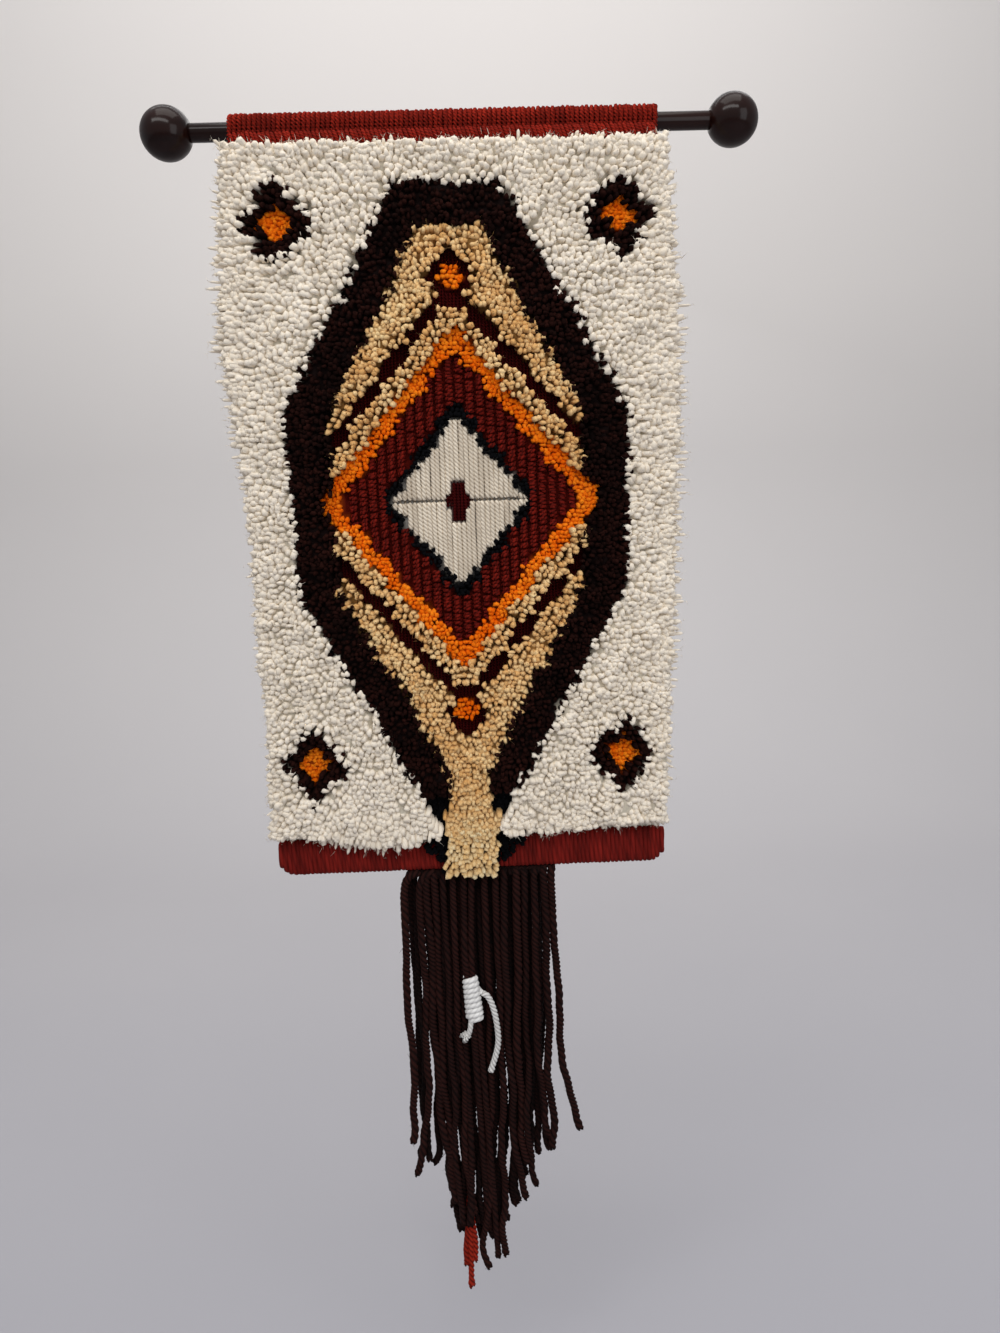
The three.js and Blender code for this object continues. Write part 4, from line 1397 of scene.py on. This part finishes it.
loops = dress(lay_loops(), "loop_yarn", "rust_yarn")
white = lay_stitches("white_satin", "satin", pitch=3.6, radius=2.15, step=1.5, turn=9, split=True)
satin = dress(white, "satin_yarn", "white_yarn")
maroon = lay_stitches("maroon_flats", "maroon", pitch=2.6, radius=1.45, step=2.0, turn=7)
flats = dress(maroon, "flat_maroon", "maroon_yarn")

# ---------------------------------------------------------------- canvas

SLEEVE_BACK_ANGLE = -math.pi + 2 * math.atan2(SLEEVE_TIP, -CANVAS_FRONT)
SLEEVE_DOWN = np.array([math.sin(SLEEVE_BACK_ANGLE), -math.cos(SLEEVE_BACK_ANGLE)])  # along its straight back


def sleeve_line(radius, step):
    """Round the rod in (back, up): from the front, over the top, to where the back runs straight."""
    count = round(radius * (math.pi - SLEEVE_BACK_ANGLE) / step)
    angles = np.linspace(math.pi, SLEEVE_BACK_ANGLE, count + 1)
    return np.stack([radius * np.cos(angles), radius * np.sin(angles)], -1)


def straight(start, stop, step):
    """Points between two places, both ends left out."""
    start, stop = np.asarray(start, float), np.asarray(stop, float)
    count = max(1, round(np.linalg.norm(stop - start) / step))
    return start + (stop - start) * np.arange(1, count)[:, None] / count


def canvas_line():
    """The canvas seen from its end: sleeve, front wall, fold and hem."""
    middle = SLEEVE_RADIUS + CANVAS_THICKNESS / 2
    tip = (-middle, SLEEVE_TIP * middle / CANVAS_FRONT)
    round_rod = sleeve_line(middle, 2.0)[::-1]
    hem = CANVAS_FRONT + HEM_THICKNESS - CANVAS_THICKNESS / 2
    fold = (HEM_THICKNESS - CANVAS_THICKNESS) / 2
    bend = np.linspace(math.pi, 2 * math.pi, 6)
    turned = np.stack([hem - fold + fold * np.cos(bend), -FOLD_DEPTH + 2 + fold + fold * np.sin(bend)], -1)
    return np.vstack(
        [
            straight(tip, round_rod[0], 4.0),
            round_rod,
            straight(round_rod[-1], turned[0], 5.0),
            turned,
            straight(turned[-1], (hem, HEM_TOP - 0.5), 5.0),
        ]
    )


def cut_canvas():
    """The canvas as one sheet, bowed in its middle and at its sides."""
    line = canvas_line()
    across = np.linspace(CANVAS_INSET - HALF_WIDTH, HALF_WIDTH - CANVAS_INSET, 31)
    x, back = np.meshgrid(across, line[:, 0])
    up = np.meshgrid(across, line[:, 1])[1]
    faces = grid_faces(*x.shape)[1][:, [0, 3, 2, 1]]
    piece = piece_from_faces("rug_canvas", hang(join(x, back + canvas_wave(x, up), up)), faces.tolist())
    wall = piece.modifiers.new("thickness", "SOLIDIFY")
    wall.thickness, wall.offset = (CANVAS_THICKNESS - 0.15) * MM, 0
    return finish_piece(piece, "rug_canvas")


canvas = dress(cut_canvas(), "canvas", "canvas", "panel")

KNOT_SIZE = (4.9, 2.3, 3.3)
KNOT_SIZES = (0.92, 1.1)
LOWEST_KNOTS = FIELD_MIDDLE - 247.5


def yarn_knot():
    """The back of one latch hook knot: a short bar of yarn round a canvas thread."""
    deselect()
    bpy.ops.mesh.primitive_cylinder_add(vertices=4, radius=0.5, depth=1, rotation=(0, math.pi / 2, 0))
    knot = bpy.context.object
    bpy.ops.object.transform_apply(rotation=True)
    edit(knot)

    def lengthways(edge):
        start, stop = (knot.data.vertices[corner].co.x for corner in edge.vertices)
        return abs(start - stop) > 0.5

    pick(knot, "edges", lengthways)
    bpy.ops.mesh.subdivide(number_cuts=1)
    for side in (-1, 1):
        pick(knot, "vertices", lambda corner: corner.co.x * side > 0.4)
        bpy.ops.transform.resize(value=(1, 0.5, 0.62))
    close_edit()
    return take_unit(knot)


def back_knots():
    """A knot's back on each canvas thread, in its own yarn's colour."""
    points, faces = yarn_knot()
    x, z = np.meshgrid(
        np.arange(-HALF_WIDTH + MESH / 2, HALF_WIDTH, MESH), np.arange(LOWEST_KNOTS, PILE_TOP - 4, MESH)
    )
    x, z = x.ravel(), z.ravel()
    count = len(x)
    root = join(x, CANVAS_BACK + canvas_wave(x, z) + 0.5, z) + chance.normal(0, 0.18, (count, 3))
    tilt = chance.normal(0.1, 0.09, count)[:, None]
    sizes = chance.uniform(*KNOT_SIZES, (count, 1))
    along, thick, tall = (points[:, axis] * KNOT_SIZE[axis] * sizes for axis in range(3))
    copies = join(
        along * np.cos(tilt) - tall * np.sin(tilt), thick, along * np.sin(tilt) + tall * np.cos(tilt)
    )
    piece = piece_from_copies("back_knots", faces, hang(copies + root[:, None, :]))
    add_yarn_colours(piece, technique_at(x, z), len(points), uneven=0.25)
    return dress(piece, "knots", "cream_yarn")


knots = back_knots()

# ---------------------------------------------------------------- bindings

WRAP_RADIUS = 2.3
SLEEVE_WRAPS, HEM_WRAPS = 88, 93
SLEEVE_WRAP_MIDDLE = 9.45  # the wraps' distance from the rod's axis
WRAP_REACH, UNDER_REACH = (12.5, 13.8), (11.5, 12)  # down the sleeve's front and its back
UNDER_RADII = (8.8, 8.1)
HEM_CORNERS = (6, 12)  # radii of the lower binding's upper and lower corners
BRAID_PITCH, BRAID_RADIUS, BRAID_MIDDLE, BRAID_BULGE = 2.9, 1.45, 10.3, 1.5
BRAID_TOP, BRAID_DROP, BRAID_SLANT = -4.2, 8.6, 3.6


def along_line(points, step, closed=False):
    """A line's points, spaced evenly."""
    points = np.asarray(points, float)
    if closed:
        points = np.vstack([points, points[:1]])
    length = distances(points)[-1]
    count = max(4, round(length / step))
    return points_along(points, np.linspace(0, length, count + 1)[: count if closed else None])


def sleeve_wall(radius, front, back):
    """Round the sleeve: from down its front, over the rod, to down its straight back."""
    round_rod = sleeve_line(radius, 2.0)
    return np.vstack([[(-radius, -front)], round_rod, [round_rod[-1] + SLEEVE_DOWN * back]])


def shade_layer(name, outline, length):
    """A plain dark layer under the wound yarn, painted shade for the gaps between the wraps: a closed outline
    in (back, up) drawn out across the cloth.
    """
    count = len(outline)
    points = [(side * length / 2, back, up) for side in (-1, 1) for back, up in outline]
    after = [(corner + 1) % count for corner in range(count)]
    faces = [(a, b, b + count, a + count) for a, b in enumerate(after)]
    faces += [tuple(range(count - 1, -1, -1)), tuple(range(count, 2 * count))]
    piece = piece_from_faces(name, hang(points), faces)
    turn_outwards(piece)
    return finish_piece(piece, name)


def wind_sleeve():
    """Yarn overcast round the sleeve: up the front, over the rod and down the back."""
    line = along_line(sleeve_wall(SLEEVE_WRAP_MIDDLE, *WRAP_REACH), 2.4)
    share = np.linspace(-0.5, 0.5, len(line))
    pitch = UPPER_BINDING_LENGTH / SLEEVE_WRAPS
    half = UPPER_BINDING_LENGTH / 2
    runs = []
    for x in np.arange(-half + 1.8, half - 1.2, pitch):
        slant = x + pitch * 0.9 * share + chance.normal(0, 0.1) + 0.15 * wavy(share * 6)
        loose = 1 + chance.normal(0, 0.012) + 0.01 * wavy(share * 5)
        runs.append(hang(join(slant, line[:, 0] * loose, line[:, 1] * loose)))
    return lay_yarn("top_wraps", runs, WRAP_RADIUS, turn=8.5)


def braid_sleeve():
    """A row of slanted stitches along the foot of the upper wraps."""
    share = np.linspace(0, 1, 9)
    half = UPPER_BINDING_LENGTH / 2
    runs = []
    for x in np.arange(-half + 2.5, half - 2, BRAID_PITCH):
        front = BRAID_MIDDLE + BRAID_BULGE * np.sin(math.pi * share) ** 0.6 + chance.normal(0, 0.12)
        run_x = x + BRAID_SLANT * (share - 0.5) + chance.normal(0, 0.2)
        runs.append(hang(join(run_x, -front, BRAID_TOP - BRAID_DROP * share + chance.normal(0, 0.2))))
    return lay_yarn("top_braid", runs, BRAID_RADIUS, turn=6.5, ends=(0.7, 0.7))


def corner_limit(x, half, radius):
    """How much a rounded end takes off at a place across."""
    past = np.clip(abs(x) - (half - radius), 0, radius)
    return radius - math.sqrt(radius**2 - past**2)


def wind_hem():
    """Yarn overcast round the hem, shorter round its rounded ends."""
    half = LOWER_BINDING_LENGTH / 2
    front = CANVAS_FRONT - GAP - BINDING_YARN / 2
    back = CANVAS_FRONT + HEM_THICKNESS + GAP + BINDING_YARN / 2
    round_off = (back - front) / 2
    middle = (front + back) / 2
    over = np.linspace(0, math.pi, 7)
    runs = []
    for x in np.arange(-half + 1.7, half - 1, LOWER_BINDING_LENGTH / HEM_WRAPS):
        top = LOWER_BINDING_TOP - BINDING_YARN / 2 - corner_limit(x, half, HEM_CORNERS[0]) - round_off
        bottom = LOWER_BINDING_BOTTOM + BINDING_YARN / 2 + corner_limit(x, half, HEM_CORNERS[1]) + round_off
        upper = np.stack([middle - round_off * np.cos(over), top + round_off * np.sin(over)], -1)
        lower = np.stack([middle + round_off * np.cos(over), bottom - round_off * np.sin(over)], -1)
        line = np.roll(along_line(np.vstack([upper, lower]), 2.5, closed=True), -3, axis=0)
        slant = x + 0.13 * (line[:, 0] - middle) + chance.normal(0, 0.15)
        runs.append(hang(join(slant, *line.T)))
    return lay_yarn("foot_wraps", runs, WRAP_RADIUS, turn=60, groove=0.1, closed=True, spread=0.08)


def sleeve_layer():
    """The dark layer between the sleeve's canvas and the wraps round it, painted shade in the gaps between
    the wraps.
    """
    outer, inner = (sleeve_wall(radius, *UNDER_REACH) for radius in UNDER_RADII)
    return shade_layer("upper_shade_layer", np.vstack([outer, inner[::-1]]), UPPER_BINDING_LENGTH - 3)


def hem_layer():
    """The dark layer between the hem and the wraps round it, painted shade in the gaps between the wraps."""
    front, back = CANVAS_FRONT - GAP - 0.5, CANVAS_FRONT + HEM_THICKNESS + GAP + 0.5
    top, bottom = LOWER_BINDING_TOP - 2.2, LOWER_BINDING_BOTTOM + 2.2
    outline = [(front, top), (front, bottom), (back, bottom), (back, top)]
    return shade_layer("lower_shade_layer", outline, LOWER_BINDING_LENGTH - 14)


top_wraps = dress(wind_sleeve(), "rust_yarn", "rust_yarn", "upper_binding")
top_braid = dress(braid_sleeve(), "rust_yarn", "rust_yarn")
foot_wraps = dress(wind_hem(), "maroon_yarn", "maroon_yarn", "lower_binding")
shade_layers = [
    dress(sleeve_layer(), "shade_layer", "rust_yarn"),
    dress(hem_layer(), "shade_layer", "maroon_yarn"),
]

# ---------------------------------------------------------------- fringe and tie

FRINGE_TURN = 14
FRINGE_STEP = 1.6
ROOT_LEANS, LAYER_SCATTER = (-4.5, 2.5), 1.3
WAVE_LENGTHS, RIPPLE_LENGTHS, SWING_LENGTHS = (80, 130), (24, 40), (90, 140)
WAVE_REACH, RIPPLE_REACH, SWING_REACH = 2.3, 0.45, 0.8
CURLED_LENGTH, CURL_REACHES = 26, (1, 6)
FUZZ_NUMBER, FUZZ_REACH, FUZZ_WIDTHS = 4200, (2.6, 4.4), (0.1, 0.2)
FUZZ_SCATTER, FUZZ_GROOVE_SHADE = 1.3, 0.7
# Tone of each strand: random, with the strands behind painted darker as painted shade and the front ones
# painted a little lighter.
FRONT_TONES_PAINTED_LIGHTER, DEEP_TONES_PAINTED_DARKER, TIED_SHADES, COVERING_SHADE = (0.2, 1.2), (-1, -0.2), (0.8, 0.5), 0.3
WRAP_TOP = np.array([-11, WRAP_Y, -638.5])
WRAP_BOTTOM = np.array([-7.7, WRAP_Y, -681.0])
FRINGE_LAYERS = (
    (FRONT_STRANDS, FRONT_LAYER),
    (MIDDLE_STRANDS, MIDDLE_LAYER),
    (BACK_STRANDS, BACK_LAYER),
)
TIED_STRANDS = [
    # side, bend, tip
    (1, (-1.5, FRINGE_Y - 3, -760), (3.9, FRINGE_Y - 1.5, -897)),
    (-1, (-7, FRINGE_Y - 2, -760), (-3.5, FRINGE_Y, -872)),
]
# The strand that hangs close in front of the rust ones and hides them down to their tip.
COVERING_ROUTE = [
    # across, back, height
    (-16.2, -2.6, FRINGE_TOP - 6),
    (-16.4, -0.4, FRINGE_TOP - 1.5),
    (-16.6, 1.6, FRINGE_TOP - 5.5),
    (-16.6, 0.2, -640),
    (-16.4, -0.8, -730),
    (-16, -2.8, -800),
    (-17.1, -4.6, -836),
    (-18, -5.6, -852),
    (-18.6, -5.9, -863),
]
# Two shorter rust strands lie beside the long one and show only at its tip.
COMPANIONS = [
    # root, how far aside of the long one at the tip, how far back, end
    (-15.8, 3.4, 4.2, -899),
    (-19.4, -3.6, 5.4, -903),
]

fringe_chance = np.random.default_rng(3)


def fringe_strand(row, layer):
    """A strand looped over the header and falling to its cut end."""
    root, middle, tip, end = row
    y, top = FRINGE_Y + layer, FRINGE_TOP - 1.5
    side = -1 if layer < 0 else 1
    y += fringe_chance.uniform(-LAYER_SCATTER, LAYER_SCATTER)
    drift = fringe_chance.normal(0, 0.8, 3)
    sway = fringe_chance.normal(0, 0.5, 2)
    lean = fringe_chance.uniform(*ROOT_LEANS)
    start = [
        (root - lean, FRINGE_Y - side * 2.6, top - 5),
        (root - lean * 0.7, FRINGE_Y - side * 0.4, top),
        (root, FRINGE_Y + side * 2.6, top - 4),
    ]
    if row in FRONT_STRANDS[:2]:
        start = [(root + 13, y + 1, top), (root + 6, y - 0.5, top - 1.5), (root + 1, y - 0.5, top - 8)]
    fall = end - top
    hanging = [
        (root + (middle - root) * 0.6 + sway[0], y + drift[0], top + fall * 0.22),
        (middle, y + drift[1], top + fall * 0.5),
        (middle + (tip - middle) * 0.35 + sway[1], y + drift[2], top + fall * 0.78),
        (tip, y + drift[2] - 0.6, end),
    ]
    return let_wave(smooth_path([*start, *hanging], FRINGE_STEP))


def let_wave(line):
    """A hanging strand waves a little more the lower it is, and its cut end curls aside."""
    along = distances(line)
    share = along / along[-1]
    turn = 2 * math.pi * along
    wave = WAVE_REACH * share**1.2 * wavy(turn / chance.uniform(*WAVE_LENGTHS))
    ripple = RIPPLE_REACH * share * wavy(turn / chance.uniform(*RIPPLE_LENGTHS))
    curl = chance.choice([-1, 1], p=[0.35, 0.65]) * chance.uniform(*CURL_REACHES)
    near_end = np.clip(1 - (along[-1] - along) / CURLED_LENGTH, 0, 1) ** 2
    fade = np.clip((1 - share) / 0.12, 0, 1)
    line[:, 0] += wave * fade + ripple + curl * near_end
    line[:, 1] += SWING_REACH * share * wavy(turn / chance.uniform(*SWING_LENGTHS))
    return line


def tied_strand(side, bend, tip):
    """One of the two strands that the white yarn holds together."""
    aside = np.array([side * 2.3, 0, 0])
    along = (WRAP_BOTTOM - WRAP_TOP) / 2
    root = np.array([-9.8 + side * 3.2, FRINGE_Y - 1.4, FRINGE_TOP - 1.5])
    return smooth_path(
        [
            root + (0, 2.6, -4),
            root + (0, 1.4, 0),
            root + (0, -1.2, -2.5),
            np.array([-10.8, FRINGE_Y - 2.4, -588]) + aside * 1.25,
            WRAP_TOP - along * 0.35 + aside,
            WRAP_TOP + along + aside * 0.9,
            WRAP_BOTTOM + along * 0.4 + aside,
            bend,
            tip,
        ],
        FRINGE_STEP,
    )


def lay_fringe():
    """All brown strands of the fringe, with their cut ends and stray fibres. Those behind are painted darker,
    as painted shade, and those in front a little lighter.
    """
    runs = [fringe_strand(row, layer) for rows, layer in FRINGE_LAYERS for row in rows]
    runs += [tied_strand(*strand) for strand in TIED_STRANDS]
    runs.append(fringe_line(COVERING_ROUTE, FRINGE_STEP))
    front, deep = len(FRONT_STRANDS), len(MIDDLE_STRANDS) + len(BACK_STRANDS)
    loose = chance.uniform(*FRONT_TONES_PAINTED_LIGHTER, front), chance.uniform(*DEEP_TONES_PAINTED_DARKER, deep)
    shades = np.concatenate([*loose, TIED_SHADES, [COVERING_SHADE]])
    strands = lay_yarn(
        "fringe_strands",
        runs,
        STRAND_RADIUS,
        FRINGE_TURN,
        ends=(0.8, 1.12),
        spread=0.12,
        wander=0.25,
        shades=shades,
    )
    return strands, cut_ends("fringe_cut_ends", runs, STRAND_RADIUS), strand_fuzz(runs, FUZZ_NUMBER)


def strand_fuzz(runs, number):
    """Stray fibres that stand out of the fringe's strands."""
    points, faces = FIBRE
    places = np.concatenate([run[6:] for run in runs])
    roots = places[chance.choice(len(places), number)] + chance.normal(0, FUZZ_SCATTER, (number, 3))
    turns = chance.uniform(0, 2 * math.pi, number)
    out = join(np.cos(turns), np.sin(turns), chance.normal(0, 0.8, number))
    beside = join(-np.sin(turns), np.cos(turns), 0 * turns)
    across = np.cross(out, beside)
    reach = chance.uniform(*FUZZ_REACH, number)
    thin = chance.uniform(*FUZZ_WIDTHS, number)[:, None, None]
    sideways = points[None, :, :1] * beside[:, None] + points[None, :, 1:2] * across[:, None]
    copies = roots[:, None] + points[None, :, 2:] * (reach[:, None] * out)[:, None] + thin * sideways
    piece = piece_from_copies("fringe_fuzz", faces, copies)
    add_attribute(piece, "shade", np.repeat(chance.uniform(0, 1, number), len(points)))
    # The fuzz takes part of the painted shade of the plies' grooves.
    add_attribute(piece, "ply", np.full(number * len(points), FUZZ_GROOVE_SHADE))
    return piece


def cut_ends(name, runs, radius, opened=0.1):
    """The three plies that swell, and open as much as asked, at each yarn's cut end."""
    plies = []
    share = np.linspace(0, 1, 5)[:, None]
    for run in runs:
        ahead = run[-1] - run[-4]
        ahead /= np.linalg.norm(ahead)
        beside = np.cross(ahead, (0, 1, 0))
        for turn in np.arange(3) * math.pi / 1.5 + chance.uniform(0, 2):
            out = math.cos(turn) * beside + math.sin(turn) * np.cross(ahead, beside)
            start = run[-1] + (0.42 * out - 1.6 * ahead) * radius
            reach = ahead * chance.uniform(1.95, 2.25) + out * (opened + chance.uniform(-0.08, 0.08))
            plies.append(start + share * reach * radius)
    return lay_yarn(name, plies, 0.63 * radius, 2 * radius, plies=2, ends=(0.5, 0.6))


def header_yarn():
    """The yarn along the binding's under side that the fringe is looped over."""
    x = np.arange(-50.0, 59.0, 1.4)
    runs = []
    for depth, drop in ((-1.3, -1.1), (1.9, -0.9)):
        sway = 0.5 * np.sin(x / 5 + 2 * depth)
        runs.append(join(x, FRINGE_Y + depth + sway, FRINGE_TOP + drop + sway))
    return lay_yarn("fringe_header", runs, radius=1.7, turn=9)


fringe_strands, fringe_ends, fringe_fuzz = lay_fringe()
dress(fringe_strands, "brown_yarn", "brown_yarn", "fringe")
dress(fringe_ends, "brown_yarn", "brown_yarn")
dress(fringe_fuzz, "brown_yarn", "brown_yarn")
header = dress(header_yarn(), "brown_yarn", "brown_yarn")

TIE_TURNS = 9
TIE_STEP = 1.2
TIE_LEAD_OUT = [
    (-12, WRAP_Y + 4.2, -650),
    (-6.5, WRAP_Y + 4.2, -652),
    (-3.4, WRAP_Y + 1.2, -654.2),
    tie_line[0] + (0.3, -0.1, -0.2),
]
TIE_SHORT_END = WRAP_BOTTOM + [(-3.8, -2.6, 2), (-4.4, -3.6, -3), (-6.2, -3.4, -8), (-9.4, -3.2, -11.6)]


def tie_coil():
    """The line of the turns round the two strands, drawn in at both ends."""
    along = WRAP_BOTTOM - WRAP_TOP
    length = np.linalg.norm(along)
    along /= length
    beside = np.cross(along, (0, 1, 0))
    beside /= np.linalg.norm(beside)
    outward = np.cross(along, beside)
    share = np.linspace(0, 1, TIE_TURNS * 20)
    angle = 2 * math.pi * TIE_TURNS * share + math.pi * 0.9
    drawn_in = 1 - 0.28 * np.abs(2 * share - 1) ** 14
    return (
        WRAP_TOP
        + along * (2.2 + (length - 4.4) * share - 1.4 * np.sin(angle))[:, None]
        + beside * ((4.4 + 1.1 * share) * drawn_in * np.cos(angle))[:, None]
        + outward * (4.5 * drawn_in * np.sin(angle))[:, None]
    )


lead_out = smooth_path(TIE_LEAD_OUT, TIE_STEP)
short_line = smooth_path(TIE_SHORT_END, TIE_STEP)
tie_turns = [tie_coil(), lead_out]
winding = lay_yarn("tie_winding", tie_turns, radius=2.3, turn=12, groove=0.08, ends=(0.7, 0.9))
short_end = lay_yarn("tie_short_end", [short_line], radius=2.2, turn=9, groove=0.16)
dress(winding, "white_yarn", "white_yarn", "tie_wrap")
dress(short_end, "white_yarn", "white_yarn")
short_tip = cut_ends("tie_cut_end", [short_line], radius=3.7, opened=0.45)
white_ends = dress(short_tip, "white_yarn", "white_yarn")


def companion_line(x, aside, back, end):
    """The way of a shorter rust strand, behind the fringe and then down beside the long one's tip."""
    return fringe_line(
        [
            (x, -2.4, FRINGE_TOP - 6),
            (x, 0, FRINGE_TOP - 1.5),
            (x, back * 0.8, FRINGE_TOP - 4.5),
            (x, back, -570),
            (x, back, -640),
            (x, back, -760),
            (x - 0.5, back * 0.7, -830),
            (-18.4 + aside * 0.3, -0.4, -858),
            (-19.1 + aside * 1.15, -1.2, end + 13),
            (-19.4 + aside * 0.85, -1.4, end),
        ],
        1.4,
    )


rust_runs = [companion_line(*companion) for companion in COMPANIONS]
companions = lay_yarn("rust_companions", rust_runs, 2.7, RUST_TURN, groove=0.3, ends=(0.8, 1.15))
rust_ends = cut_ends("rust_cut_ends", [*rust_runs, rust_line], radius=2.9, opened=0.35)
dress(companions, "rust_strand", "rust_yarn")
dress(rust_ends, "rust_strand", "rust_yarn")

# ---------------------------------------------------------------- nothing left selected

deselect()
